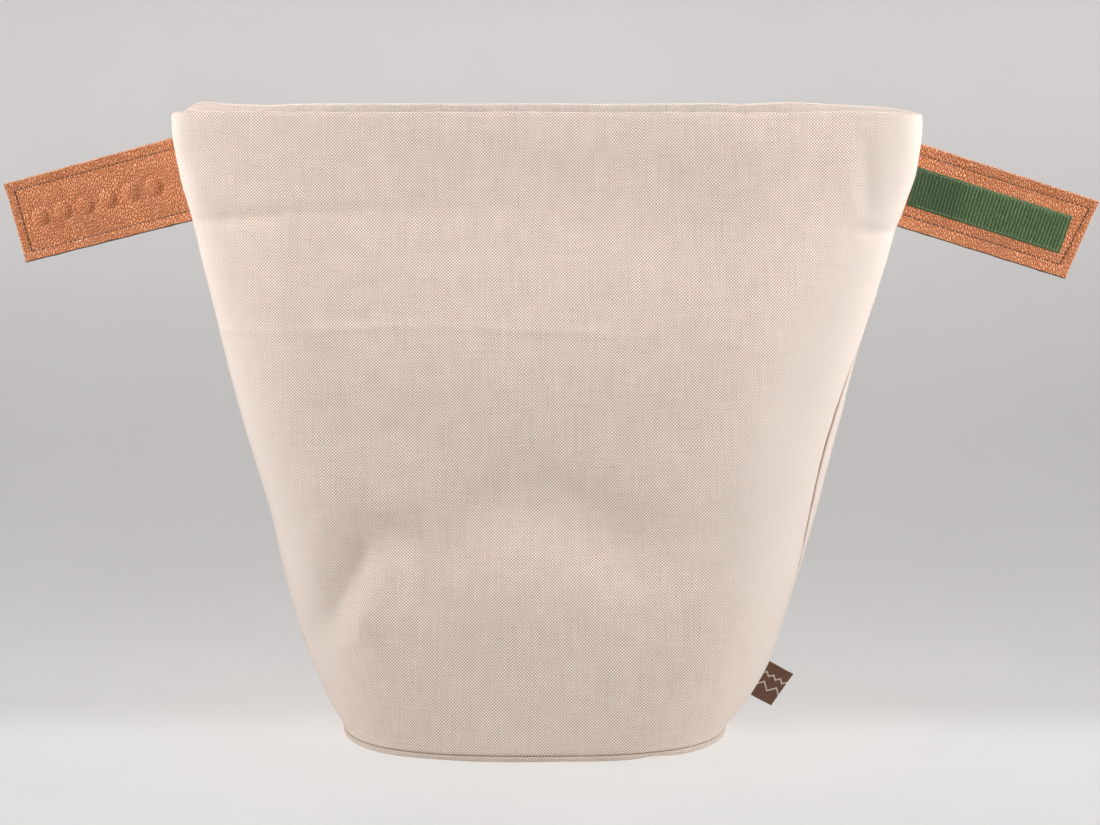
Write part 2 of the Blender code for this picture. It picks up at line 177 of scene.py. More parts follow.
BACK_CREASES = (
    Fold(-176.0, 268.0, -110.0, 271.0, 0.0, 4.5, -1.3),     # tuck under the left strap
    Fold(140.0, 262.0, 176.0, 264.0, 0.0, 4.0, -1.1),       # tuck under the right strap
    Fold(-150.0, 208.0, 146.0, 211.0, 0.0, 2.2, 0.4),       # pressed line across
)
FOLD_CLEAR = 22.0           # folds fade out within this distance of a side seam
CREASE_CLEAR = 7.0          # and creases within this
FOLD_FLOOR = 26.0           # below this height both fade out towards the base seam

# Small unevenness of the cloth: how far it repeats across and down, and how far it stands out
Ripple = namedtuple("Ripple", "across down rise seed")
RIPPLES = (
    Ripple(70.0, 46.0, 1.1, 3.0),
    Ripple(30.0, 18.0, 0.32, 11.0),
    Ripple(11.0, 9.0, 0.07, 23.0),
)
RIPPLE_LEAST = 0.25         # share of the ripples that is left at the seams
RIPPLE_CLEAR = 10.0         # how far from a side seam they reach their full height
RIPPLE_FLOOR = 12.0         # and how far above the base seam
PUCKER = 0.35               # how far the cloth puckers beside a side seam
PUCKER_LENGTH = 9.0         # from one pucker to the next
PUCKER_REACH = 9.0          # how far the puckers run from the seam
PUCKER_FOOT = 8.0           # the puckers start at this height
PUCKER_FLOOR = 12.0         # and reach their full size over this height
PUCKER_APART = 40.0         # how unlike the puckers of the two seams are
RIM_WAVE = 0.5              # how far the rim wavers up and down
RIM_WAVE_LENGTH = 60.0      # and over what length

# Where the rim stands a little higher or lower
RimLift = namedtuple("RimLift", "face x spread rise")
RIM_LIFTS = (
    RimLift("back", -189.0, 7.0, -3.6),     # the left corner slopes away
    RimLift("back", -175.0, 8.0, 1.6),
    RimLift("back", -142.0, 14.0, -0.9),
    RimLift("back", 122.0, 14.0, 0.8),      # a ripple of the back
    RimLift("back", 96.0, 9.0, -0.5),
    RimLift("front", -189.0, 6.0, -1.8),    # rounded left corner
)

# A strip of leather or woven tape, as it leaves the wall
Strip = namedtuple(
    "Strip", "side x y z swing drop inside length root_width tip_width root_slant tip_slant")
LEFT_STRAP = Strip(-1, -181.8, 5.6, 279.9, 20.0, 15.6, 9.0, 100.4, 42.8, 41.6, 0.0, 0.7)
RIGHT_STRAP = Strip(1, 180.0, 4.8, 276.5, 12.0, 18.3, 9.0, 96.6, 43.1, 42.7, 0.0, 4.2)
HOOK_TAPE = Strip(1, 180.0, 4.8, 276.5, 12.0, 18.3, -1.4, 87.0, 20.0, 20.0, -1.2, 0.6)
WOVEN_LABEL = Strip(1, 106.3, 0.0, 24.8, 0.0, 29.0, 7.0, 14.0, 19.8, 19.7, -0.6, 1.8)

# Where the side seam opens for a strip: its height, half its width and half its thickness
Opening = namedtuple("Opening", "side height reach half")
OPENINGS = (
    Opening(-1, 279.9, 22.6, 1.7),
    Opening(1, 276.5, 22.8, 1.7),
    Opening(1, 24.8, 10.6, 0.75),
)
OPENING_EASE = 5.0          # over what height the seam closes again

LAYER_GAP = 0.3             # space between the two layers of a doubled strap
EDGE_BAND = 0.6             # how far a strap's cut edge shows on its face
EDGE_LINE = 0.012           # share of the width over which its colour changes there
EDGE_WAVE = 0.3             # how far that edge wavers
EDGE_WAVE_LENGTH = 11.0
EDGE_WAVE_POWER = 7         # how closely the waver keeps to the edge
EDGE_CURL = 1.1             # how far a strip's long edges curl to the front
EDGE_CURL_LAYER = 1.2       # the thickness of a layer for which that holds
EDGE_CURL_START = 0.32      # share of the width from the middle at which the curl starts
EDGE_CURL_REACH = 0.22      # and over what share it comes on
EDGE_ROUND = 0.5            # how far in from its cut edge a strip is rounded
EDGE_ROUND_SHARE = 0.3      # and by what share of its thickness
SWELL = 0.35                # how far a strap swells out inside its stitches
SWELL_START = 0.8           # how far inside them that starts
SWELL_REACH = 5.0           # and over what distance it comes on
UNEVEN = 0.16               # how uneven a strap is
UNEVEN_LENGTHS = (9.0, 7.0)     # along it and across it
FURROW = 0.28               # how far the stitches pull the leather in
FURROW_WIDTH = 0.65
LABEL_LAYER = 0.45
LABEL_GAP = 0.15
LABEL_STEP = 0.5            # size of the faces of the label
STRIP_STEP = 0.65           # size of the faces of a leather strip
TIP_STEPS = 10              # steps round the bend at its tip

# The line of stitches that runs up one side of a strap, across its tip and down the other:
# its distance from the strap's middle line, and how far out it turns above and below
StitchLine = namedtuple("StitchLine", "start above below out_above out_below")
LEFT_STITCHES = StitchLine(-4.0, 16.1, -16.1, 95.2, 95.2)
RIGHT_STITCHES = StitchLine(-4.0, 16.3, -15.1, 93.1, 90.7)
TAPE_STITCHES = StitchLine(6.0, 8.9, -8.9, 85.6, 85.6)

# Round bosses pressed up in the left strap: how far out, how high up, how wide, how tall
Boss = namedtuple("Boss", "out up radius rise")
BOSSES = tuple(Boss(19.0 + 13.2 * place, 0.0, 4.6, 1.0) for place in range(6))
BOSS_ROUND = 0.65           # power of a boss's round profile
BOSS_RING = 1.2             # how wide the leather sinks around a boss
BOSS_RING_OUT = 0.9         # how far out from its edge
BOSS_RING_DEPTH = 0.4       # and how far

# The hook tape's ground, in millimetres from the middle of the strap to its front
TAPE_BACK = 1.45
TAPE_THICK = 0.6
TAPE_STEP = 0.3             # size of its faces along it
TAPE_COLUMNS = 41
TAPE_RIB = 0.14             # how far its ribs stand out
TAPE_EDGE = 0.25            # how far its edges are rounded off, and over what width
TAPE_EDGE_WIDTH = 0.6
TAPE_SELVEDGE = 0.4         # flat band beside its ribs, and over what width they fade out
TAPE_SELVEDGE_EASE = 0.5
TAPE_STITCH = 2.4
TAPE_THREAD = 0.45
TAPE_THREAD_OUT = 2.08      # how far out its stitches lie

# Its hooks: bent filaments that rise out of the ground and curl to either side
HOOK_FOOT = 2.0
HOOK_MARGIN = 1.2           # space without hooks at the tape's ends
HOOK_SIDE_MARGIN = 1.3      # and at its sides
HOOK_RINGS, HOOK_AROUND = 8, 5
HOOK_RADIUS = 0.13
HOOK_STEM_SHARE = 0.25      # share of a hook that is its straight stem
HOOK_STEM = 0.35
HOOK_BEND = 0.30            # how far the bend rises over the stem
HOOK_CURL = 0.22            # how far it reaches over
HOOK_TURN = 1.25 * math.pi
HOOK_LOOSE = (0.12, 0.22)   # how far hooks stray: everywhere, and more where they are pressed
PRESSED_END, PRESSED_FADE = 45.0, 25.0


def noise_over(x, y, z):
    """Return smooth noise at places given as arrays or numbers."""
    x, y, z = np.broadcast_arrays(x, y, z)
    values = [noise.noise(Vector(place)) for place in zip(x.ravel(), y.ravel(), z.ravel())]
    return np.array(values).reshape(x.shape)


def soft_step(value):
    """Ease from 0 to 1 as the value goes from 0 to 1."""
    value = np.clip(value, 0.0, 1.0)
    return value * value * (3 - 2 * value)


def ease(before, start, end, after, heights, height):
    """Return a value on the smooth curve through four neighbouring rows."""
    low, high = heights[1], heights[2]
    span = high - low
    slope_start = (end - before) / (high - heights[0])
    slope_end = (after - start) / (heights[3] - low)
    part = (height - low) / span
    square, cube = part * part, part ** 3
    return ((2 * cube - 3 * square + 1) * start
            + (cube - 2 * square + part) * span * slope_start
            + (3 * square - 2 * cube) * end
            + (cube - square) * span * slope_end)


def level_at(height):
    """Return the outline's sizes at any height, eased between the rows of LEVELS."""
    height = min(max(height, LEVELS[0].height), LEVELS[-1].height)
    index = 0
    while index < len(LEVELS) - 2 and LEVELS[index + 1].height < height:
        index += 1
    rows = [LEVELS[min(max(index + step, 0), len(LEVELS) - 1)] for step in (-1, 0, 1, 2)]
    heights = [row.height for row in rows]
    eased = [ease(*column, heights, height) for column in list(zip(*rows))[1:]]
    return Level(height, *eased)


def outline_points(level, angles):
    """Return points of the outline; the angle runs from the right end through the back."""
    across, along = np.sin(angles), np.cos(angles)
    reach = (np.abs(along) ** level.square
             + np.abs(across) ** level.square) ** (-1.0 / level.square)
    half_width = (level.left + level.right) / 2
    middle = (level.right - level.left) / 2
    depth = np.where(across > 0, level.back, level.front)
    slewed = level.slew * reach * across * np.maximum(0.0, -along * reach)
    return np.stack([middle + half_width * reach * along + slewed, depth * reach * across], 1)


def seam_angle(level, seam_y, side):
    """Return the angle at which the outline passes a side seam."""
    depth = level.back if seam_y > 0 else level.front
    across = seam_y / depth
    along = (1.0 - abs(across) ** level.square) ** (1.0 / level.square)
    return math.atan2(across, side * along)


def panel_course(level, face):
    """Return the outline from the left seam to the right seam, and the distance along it."""
    right = seam_angle(level, level.right_seam, 1)
    left = seam_angle(level, level.left_seam, -1) % (2 * math.pi)
    if face == "front":
        left -= 2 * math.pi
    course = outline_points(level, np.linspace(left, right, OUTLINE_STEPS))
    steps = np.linalg.norm(np.diff(course, axis=0), axis=1)
    return course, np.concatenate([[0.0], np.cumsum(steps)])


def fold_rise(folds, x, z, fade):
    """Return how far the folds lift the cloth along one row."""
    rise = np.zeros_like(x)
    for fold in folds:
        run = np.array([fold.to_x - fold.from_x, fold.to_z - fold.from_z])
        length = np.linalg.norm(run)
        aside = np.array([-run[1], run[0]]) / length
        place = np.stack([x - fold.from_x, np.full_like(x, z - fold.from_z)], 1)
        part = np.clip(place @ run / length ** 2, 0.0, 1.0)
        bow = fold.bow * 4 * part * (1 - part)
        off = np.linalg.norm(place - part[:, None] * run - bow[:, None] * aside, axis=1)
        rise += fold.rise * np.exp(-(off / fold.spread) ** 2)
    return rise * fade * soft_step(z / FOLD_FLOOR)


def ripple_rise(x, z, seam_distance, seed):
    """Return the small unevenness of the cloth along one row."""
    rise = sum(ripple.rise * noise_over(x / ripple.across, z / ripple.down, ripple.seed + seed)
               for ripple in RIPPLES)
    fade = soft_step(seam_distance / RIPPLE_CLEAR) * soft_step((z - WALL_FOOT) / RIPPLE_FLOOR)
    return rise * (RIPPLE_LEAST + (1 - RIPPLE_LEAST) * fade)


def pucker_rise(z, seam_distance, left_side, seed):
    """Return how the cloth puckers along its side seams."""
    wave = noise_over(z / PUCKER_LENGTH, np.where(left_side, 0.0, PUCKER_APART) + seed, 5.0)
    return (PUCKER * wave * np.exp(-seam_distance / PUCKER_REACH)
            * soft_step((z - PUCKER_FOOT) / PUCKER_FLOOR))


def seam_stand_off(side, height):
    """Return how far a panel's edge stands back from the middle of the side seam."""
    stand_off = SEAM_TOUCH
    for opening in OPENINGS:
        if opening.side == side:
            outside = abs(height - opening.height) - opening.reach
            share = 1.0 - float(soft_step(outside / OPENING_EASE))
            stand_off = max(stand_off, SEAM_TOUCH + (opening.half - SEAM_TOUCH) * share)
    return stand_off


def roll_in(distance, radius):
    """Return how far the cloth has turned in at a distance from an edge."""
    reach = np.clip(radius - distance, 0.0, radius)
    return radius - np.sqrt(radius ** 2 - reach ** 2)


def wall_heights(hem):
    """Return the heights of a panel's rows, from the base seam to just under the rim's turn."""
    foot = [WALL_FOOT + step for step in FOOT_ROWS]
    return np.concatenate([foot[:-1], np.linspace(foot[-1], RIM - hem / 2, WALL_ROWS)])


def outer_wall(face, folds, creases, hem, seed):
    """Return a panel's outside: its points, the direction out of each, and its flat places."""
    points, flat = [], []
    for height in wall_heights(hem):
        above = height - WALL_FOOT - UPRIGHT_BAND
        lag = FOOT_LAG * (1 - float(soft_step(above / FOOT_LAG_REACH)))
        level = level_at(height - lag if above > 0 else 0)
        course, distances = panel_course(level, face)
        start = seam_stand_off(-1, height)
        end = distances[-1] - seam_stand_off(1, height)
        middle = np.linspace(start + SEAM_COLUMNS[-1], end - SEAM_COLUMNS[-1], WALL_COLUMNS)
        margins = np.array(SEAM_COLUMNS[:-1])
        places = np.concatenate([start + margins, middle, (end - margins)[::-1]])
        x = np.interp(places, distances, course[:, 0])
        y = np.interp(places, distances, course[:, 1])
        heading = np.gradient(course, distances, axis=0)
        heading_x = np.interp(places, distances, heading[:, 0])
        heading_y = np.interp(places, distances, heading[:, 1])
        size = np.hypot(heading_x, heading_y) * (1 if face == "front" else -1)
        out_x, out_y = heading_y / size, -heading_x / size
        seam_distance = np.minimum(places - start, end - places)
        rise = fold_rise(folds, x, height, soft_step(seam_distance / FOLD_CLEAR))
        rise += fold_rise(creases, x, height, soft_step(seam_distance / CREASE_CLEAR))
        rise += ripple_rise(x, height, seam_distance, seed)
        rise += pucker_rise(height, seam_distance, places < distances[-1] / 2, seed)
        eased = RIM_EASE * float(soft_step((height - RIM_EASE_START) / RIM_EASE_REACH))
        rise -= (1 - eased) * roll_in(seam_distance, SEAM_ROLL)
        rise -= roll_in(height - WALL_FOOT, FOOT_ROLL)
        sideways = 2 * (places - start) / (end - start) - 1
        drop = np.where(sideways < 0, LEFT_DROOP.drop * np.abs(sideways) ** LEFT_DROOP.power,
                        RIGHT_DROOP.drop * np.abs(sideways) ** RIGHT_DROOP.power)
        share = float(soft_step((height - DROOP_START) / (RIM - DROOP_START)))
        wave = noise_over(x / RIM_WAVE_LENGTH, seed, 7.0)
        lift = sum(place.rise * np.exp(-((x - place.x) / place.spread) ** 2)
                   for place in RIM_LIFTS if place.face == face)
        z = height - share * drop + share ** 3 * (RIM_WAVE * wave + lift)
        points.append(np.stack([x + out_x * rise, y + out_y * rise, z], 1))
        flat.append(places - np.interp(0.0, course[:, 0], distances))
    points = np.array(points)
    climb = np.linalg.norm(np.diff(points[:, points.shape[1] // 2], axis=0), axis=1)
    heights = np.concatenate([[0.0], np.cumsum(climb)])
    flat = np.stack([np.array(flat), np.repeat(heights[:, None], points.shape[1], 1)], 2)
    return points, flat


def unit(vectors):
    """Return vectors of length 1."""
    return vectors / np.linalg.norm(vectors, axis=-1, keepdims=True)


def outward_of(points, face):
    """Return the direction out of the cloth at each point, and the direction up along it."""
    along = np.gradient(points, axis=1)
    up = np.gradient(points, axis=0)
    out = unit(np.cross(along, up))
    return (out if face == "front" else -out), unit(up)


def piece_from(name, points, faces, materials, node=None, flat=None, indices=None):
    """Make a shown mesh object from points in millimetres, with a flat map in metres."""
    mesh = bpy.data.meshes.new(name)
    places = np.asarray(points).reshape(-1, 3) * MM
    mesh.from_pydata(places.tolist(), [], [list(face) for face in faces])
    if flat is not None:
        corners = np.zeros(len(mesh.loops), dtype=np.int32)
        mesh.loops.foreach_get("vertex_index", corners)
        places = np.asarray(flat).reshape(-1, 2)[corners] * MM
        layer = mesh.uv_layers.new(name="cloth_flat")
        layer.uv.foreach_set("vector", places.astype(np.float32).ravel())
    for material in materials:
        mesh.materials.append(material)
    if indices is not None:
        mesh.polygons.foreach_set("material_index", indices)
    work = bmesh.new()
    work.from_mesh(mesh)
    bmesh.ops.recalc_face_normals(work, faces=work.faces)
    work.to_mesh(mesh)
    work.free()
    mesh.shade_smooth()
    piece = bpy.data.objects.new(name, mesh)
    bpy.context.scene.collection.objects.link(piece)
    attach(piece, ROOT)
    if node:
        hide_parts(node)
    return piece


def ring_faces(rows, columns):
    """Return the faces of a grid whose rows close on themselves."""
    faces = []
    for row in range(rows):
        after = (row + 1) % rows
        for column in range(columns - 1):
            faces.append((row * columns + column, row * columns + column + 1,
                          after * columns + column + 1, after * columns + column))
    return faces


def end_faces(outer_rows, turn_rows, columns, column):
    """Return the faces that close one side of a grid between its outside and its inside."""
    rows = 2 * outer_rows + turn_rows
    faces = []
    for row in range(outer_rows - 1):
        inner = rows - 1 - row
        faces.append((row * columns + column, (row + 1) * columns + column,
                      (inner - 1) * columns + column, inner * columns + column))
    if turn_rows:
        turn = [row * columns + column for row in range(outer_rows - 1, outer_rows + turn_rows + 1)]
        faces.append(turn)
    return faces


def sheet_faces(outer_rows, turn_rows, columns):
    """Return a sheet's faces: round its outside, turn and inside, then its two sides."""
    return (ring_faces(2 * outer_rows + turn_rows, columns),
            *(end_faces(outer_rows, turn_rows, columns, column) for column in (0, columns - 1)))


def tube_faces(start, rings, around, capped=True):
    """Return the faces of a tube of closed rings of points, its ends filled if it is capped."""
    faces = []
    for ring in range(rings - 1):
        for step in range(around):
            after = (step + 1) % around
            faces.append((start + ring * around + step, start + ring * around + after,
                          start + (ring + 1) * around + after,
                          start + (ring + 1) * around + step))
    if capped:
        faces += [[start + end * around + step for step in range(around)]
                  for end in (0, rings - 1)]
    return faces


def add_mask(piece, name, values):
    """Give a piece's points a mask for its material."""
    mask = piece.data.attributes.new(name, "FLOAT", "POINT")
    mask.data.foreach_set("value", values.ravel())


def build_wall_panel(name, node, face, folds, creases, linen, materials, seed):
    """Make one panel of the wall as a sheet with a doubled hem and a softly folded rim."""
    cloth, hem = linen.cloth / MM, linen.hem / MM
    outer, flat = outer_wall(face, folds, creases, hem, seed)
    out, up = outward_of(outer, face)
    thick = cloth + (hem - cloth) * soft_step((wall_heights(hem) - HEM_EDGE) / HEM_STEP)
    inner = outer - out * thick[:, None, None]
    turn, turn_flat = [], []
    for step in range(1, RIM_TURN_STEPS):
        angle = math.pi * step / RIM_TURN_STEPS
        turn.append(outer[-1] - out[-1] * (hem / 2) * (1 - math.cos(angle))
                    + up[-1] * (hem / 2) * math.sin(angle))
        turn_flat.append(flat[-1] + np.array([0.0, hem * step / RIM_TURN_STEPS]))
    points = np.concatenate([outer, turn, inner[::-1]])
    flats = np.concatenate([flat, turn_flat, flat[::-1]])
    columns = points.shape[1]
    body, left_end, right_end = sheet_faces(len(outer), len(turn), columns)
    # The inside faces get a lit copy of the cloth, with its weft painted paler as painted light
    inside_from = (len(outer) + RIM_TURN_STEPS // 2) * (columns - 1)
    indices = [int(number >= inside_from) for number in range(len(body))]
    indices += [0] * (len(left_end) + len(right_end))
    piece = piece_from(name, points, body + left_end + right_end, materials, node,
                       flats, indices)
    left, right = flats[..., 0] - flats[:, :1, 0], flats[:, -1:, 0] - flats[..., 0]
    nearer = np.minimum(left, right)
    below = 1 - soft_step((points[..., 2] - SHADE_TOP) / SHADE_FADE)
    shade = (1 - soft_step(nearer / SEAM_SHADE)) * below
    # Painted shade on the rim's fold, darkening its top
    shade[len(outer):len(outer) + len(turn)] = RIM_SHADE
    add_mask(piece, "seam_shade", shade)
    # Painted glare: beside the side seams the weave is washed out towards a pale colour, standing
    # in for the side lights
    spread = 1 + GLARE_SPREAD - GLARE_SPREAD * points[..., 2] / RIM
    painted_highlight_share = [1 - soft_step((side - zone.even) / (zone.fade * spread))
            for side, zone in ((left, LEFT_GLARE), (right, RIGHT_GLARE))]
    add_mask(piece, "fuzz", np.maximum(*painted_highlight_share))
    # Painted light: the cloth is painted paler towards the side seams
    add_mask(piece, "faded", 1 - soft_step(nearer / SIDE_LIGHT_REACH))
    return piece, flat


# ---------------------------------------------------------------- base

BASE_STEPS = 240
BASE_FLAT_RINGS = (0.05, 0.15, 0.25, 0.35, 0.45, 0.55, 0.65, 0.74, 0.82, 0.88, 0.93)
BASE_TURN = 2.2             # radius to which the base's edge turns up from the floor
BASE_TOP = 3.2              # height of its turned-up edge
LIP_ROLL = 0.9              # radius to which that edge turns in at the seam
LIP_DROP = 0.2              # how far its inside stays below its top
INNER_TURN = 0.6            # radius of the turn inside the edge
# Where the front edge of the base lifts off the floor: where, how wide and how far
Lift = namedtuple("Lift", "x spread rise")
BASE_LIFTS = (Lift(51.0, 8.0, 1.15), Lift(8.0, 14.0, 0.25), Lift(-60.0, 16.0, 0.35))
LIFT_DEPTH = 14.0           # how far in from the edge a lift reaches


def quarter_turn(steps):
    """Return the angles of a quarter of a turn."""
    return np.linspace(0.0, math.pi / 2, steps)


def base_profile(cloth):
    """Return the base's edge as steps in from the outline and heights, outside then inside."""
    turn = [(BASE_TURN * (1 - math.sin(a)), BASE_TURN * (1 - math.cos(a)))
            for a in quarter_turn(6)]
    lip = [(LIP_ROLL * (1 - math.cos(a)), BASE_TOP - LIP_ROLL * (1 - math.sin(a)))
           for a in quarter_turn(5)]
    inner_turn = [(cloth + INNER_TURN * (1 - math.cos(a)), cloth + INNER_TURN * (1 - math.sin(a)))
                  for a in quarter_turn(4)]
    return turn + lip + [(cloth, BASE_TOP - LIP_DROP)] + inner_turn


def build_base(linen, material):
    """Make the oval base: flat on the floor, with its edge turned up to the wall's seam."""
    cloth = linen.cloth / MM
    angles = np.linspace(0.0, 2 * math.pi, BASE_STEPS, endpoint=False)
    outline = outline_points(level_at(0), angles)
    middle = outline.mean(axis=0)
    heading = np.roll(outline, -1, axis=0) - np.roll(outline, 1, axis=0)
    out = unit(np.stack([heading[:, 1], -heading[:, 0]], 1))
    profile = np.array(base_profile(cloth))
    climbs = np.concatenate([[0.0], np.cumsum(np.linalg.norm(np.diff(profile, axis=0), axis=1))])
    bottom = [middle + (outline - middle) * share for share in BASE_FLAT_RINGS]
    edge = [outline - out * inset for inset, height in profile]
    rings = bottom + edge + bottom[::-1]
    heights = [0.0] * len(bottom) + [height for inset, height in profile] + [cloth] * len(bottom)
    flat = bottom + [outline + out * (climb - BASE_TURN) for climb in climbs] + bottom[::-1]
    points = []
    for ring, height in zip(rings, heights):
        lift = sum(place.rise * np.exp(-((ring[:, 0] - place.x) / place.spread) ** 2)
                   for place in BASE_LIFTS)
        inset = np.linalg.norm(outline - ring, axis=1)
        lift = lift * soft_step(1 - inset / LIFT_DEPTH) * (ring[:, 1] < 0)
        lift = lift * max(0.0, 1 - height / BASE_TOP)
        points.append(np.column_stack([ring, height + lift]))
    faces = tube_faces(0, len(points), BASE_STEPS, capped=False)
    places = np.array(points).reshape(-1, 3)
    hubs = np.array([[*middle, 0.0], [*middle, cloth]])
    for hub, row in ((len(places), 0), (len(places) + 1, len(points) - 1)):
        faces += [(hub, row * BASE_STEPS + step, row * BASE_STEPS + (step + 1) % BASE_STEPS)
                  for step in range(BASE_STEPS)]
    flat = np.concatenate([np.array(flat).reshape(-1, 2), hubs[:, :2]])
    piece = piece_from("linen_base", np.concatenate([places, hubs]), faces, [material],
                       "base_panel", flat)


# ---------------------------------------------------------------- strips

def strip_axes(strip):
    """Return a strip's directions: out along it, up across it, and to its back."""
    swing, drop = math.radians(strip.swing), math.radians(strip.drop)
    level_heading = np.array([strip.side * math.cos(swing), math.sin(swing), 0.0])
    heading = level_heading * math.cos(drop) - np.array([0.0, 0.0, math.sin(drop)])
    upward = level_heading * math.sin(drop) + np.array([0.0, 0.0, math.cos(drop)])
    backward = np.array([-strip.side * math.sin(swing), math.cos(swing), 0.0])
    return heading, upward, backward


def strip_points(strip, out, up, off):
    """Return points of a strip from arrays: how far out, how far up in millimetres, and off."""
    heading, upward, backward = strip_axes(strip)
    out, up, off = np.broadcast_arrays(out, up, off)
    share = out / strip.length
    width = strip.root_width + (strip.tip_width - strip.root_width) * share
    slant = strip.root_slant + (strip.tip_slant - strip.root_slant) * share
    root = np.array([strip.x, strip.y, strip.z])
    return (root + heading * (out + slant * up / width)[..., None] + upward * up[..., None]
            + backward * off[..., None])


def strip_width(strip, out):
    """Return a strip's width at a distance from the wall."""
    return strip.root_width + (strip.tip_width - strip.root_width) * out / strip.length


def doubled_path(strip, layer, gap, step):
    """Return a doubled strip's rows as places out and turns round its tip, and its bend."""
    bend = (layer + gap) / 2
    last = strip.length - bend - layer / 2
    count = max(2, round((last + strip.inside) / step))
    stations = np.linspace(-strip.inside, last, count)
    angles = np.linspace(0.0, math.pi, TIP_STEPS)[1:-1]
    out = np.concatenate([stations, np.full(len(angles), last), stations[::-1]])
    turn = np.concatenate([np.zeros(count), angles, np.full(count, math.pi)])
    return out, turn, bend


def build_doubled_strip(name, node, strip, layer, gap, step, relief, materials):
    """Make a strip folded double at its tip, with rounded edges and its own relief."""
    out, turn, bend = doubled_path(strip, layer, gap, step)
    across = max(4, round(strip.root_width / step))
    edge = 0.5 - EDGE_BAND / strip.root_width
    shares = np.unique(np.concatenate([
        np.linspace(-0.5, 0.5, across), [-edge, edge, EDGE_LINE - edge, edge - EDGE_LINE]]))
    columns = len(shares)
    out_grid, share_grid = np.meshgrid(out, shares, indexing="ij")
    turn_grid = np.repeat(turn[:, None], columns, 1)
    wave = noise_over(out / EDGE_WAVE_LENGTH, turn, 3.0)
    up_grid = (share_grid * strip_width(strip, out_grid)
               + EDGE_WAVE * wave[:, None] * (2 * share_grid) ** EDGE_WAVE_POWER)
    edge_distance = (0.5 - np.abs(share_grid)) * strip.root_width
    rounded = EDGE_ROUND_SHARE * layer * roll_in(edge_distance, EDGE_ROUND) / EDGE_ROUND
    rise = relief(out_grid, up_grid, turn_grid) - rounded
    curl = EDGE_CURL * (layer / EDGE_CURL_LAYER) * soft_step(
        (np.abs(share_grid) - EDGE_CURL_START) / EDGE_CURL_REACH)
    layers = []
    for radius in (bend + layer / 2 + rise, bend - layer / 2 + rounded):
        layers.append(strip_points(strip, out_grid + np.sin(turn_grid) * radius, up_grid,
                                   -np.cos(turn_grid) * radius - curl))
    points = np.concatenate([layers[0], layers[1][::-1]])
    run = np.concatenate([[0.0], np.cumsum(np.abs(np.diff(out)) + np.diff(turn) * bend)])
    flat = np.stack([np.repeat(run[:, None], columns, 1), up_grid], 2)
    body, lower_end, upper_end = sheet_faces(len(out), 0, columns)
    # The lower cut edge gets the painted shade and the upper one the painted light
    cut = {0: 1, columns - 2: 2}
    indices = [cut.get(number % (columns - 1), 0) for number in range(len(body))]
    indices += [1] * len(lower_end) + [2] * len(upper_end)
    indices = [min(index, len(materials) - 1) for index in indices]
    piece = piece_from(name, points, body + lower_end + upper_end, materials, node,
                       np.concatenate([flat, flat[::-1]]), indices)


def stitch_corners(line):
    """Return the corners of a line of stitches, as places out and up."""
    return [(line.start, line.above), (line.out_above, line.above),
            (line.out_below, line.below), (line.start, line.below)]


def distance_to_stitches(line, out, up):
    """Return how far each place of a strip is from its line of stitches."""
    nearest = np.full(np.shape(out), 1e9)
    corners = stitch_corners(line)
    for (x0, y0), (x1, y1) in zip(corners, corners[1:]):
        run = np.array([x1 - x0, y1 - y0])
        part = np.clip(((out - x0) * run[0] + (up - y0) * run[1]) / (run @ run), 0.0, 1.0)
        nearest = np.minimum(nearest, np.hypot(out - x0 - part * run[0], up - y0 - part * run[1]))
    return nearest


def inner_reach(line, out, up):
    """Return how far inside its line of stitches each place of a strip is."""
    side = np.minimum(line.above - up, up - line.below)
    return np.minimum(side, (line.out_above + line.out_below) / 2 - out)


def leather_relief(line, bosses):
    """Return the function that gives a strap's relief: stitch furrow, swell and bosses."""
    def relief(out, up, turn):
        rise = -FURROW * np.exp(-(distance_to_stitches(line, out, up) / FURROW_WIDTH) ** 2)
        rise += UNEVEN * noise_over(out / UNEVEN_LENGTHS[0], up / UNEVEN_LENGTHS[1], 2.0 + turn)
        rise += SWELL * soft_step((inner_reach(line, out, up) - SWELL_START) / SWELL_REACH)
        front = turn == 0.0
        for boss in bosses:
            off = np.hypot(out - boss.out, up - boss.up)
            dome = boss.rise * np.clip(1 - (off / boss.radius) ** 2, 0.0, 1.0) ** BOSS_ROUND
            ring_off = (off - boss.radius - BOSS_RING_OUT) / BOSS_RING
            rise += np.where(front, dome - BOSS_RING_DEPTH * np.exp(-ring_off ** 2), 0.0)
        return rise
    return relief


def stitch_places(line, pitch):
    """Return each stitch of a line as its middle and its direction, in out and up."""
    places = []
    corners = stitch_corners(line)
    for (x0, y0), (x1, y1) in zip(corners, corners[1:]):
        length = math.hypot(x1 - x0, y1 - y0)
        count = max(1, round(length / pitch))
        for index in range(count):
            part = (index + 0.5) / count
            places.append((x0 + (x1 - x0) * part, y0 + (y1 - y0) * part,
                           (x1 - x0) / length, (y1 - y0) / length))
    return places


STITCH_RINGS, STITCH_AROUND = 7, 8
STITCH_HALF = 0.46          # half the length of a stitch, as a share of the pitch
STITCH_TILT = 0.10          # how unevenly the stitches lie
STITCH_DIP = 0.45           # how far a stitch's ends dip, as a share of its thickness
STITCH_BLUNT = 0.02         # how blunt they are
STITCH_INSET = 0.05         # how far the stitches of the straps lie in the leather


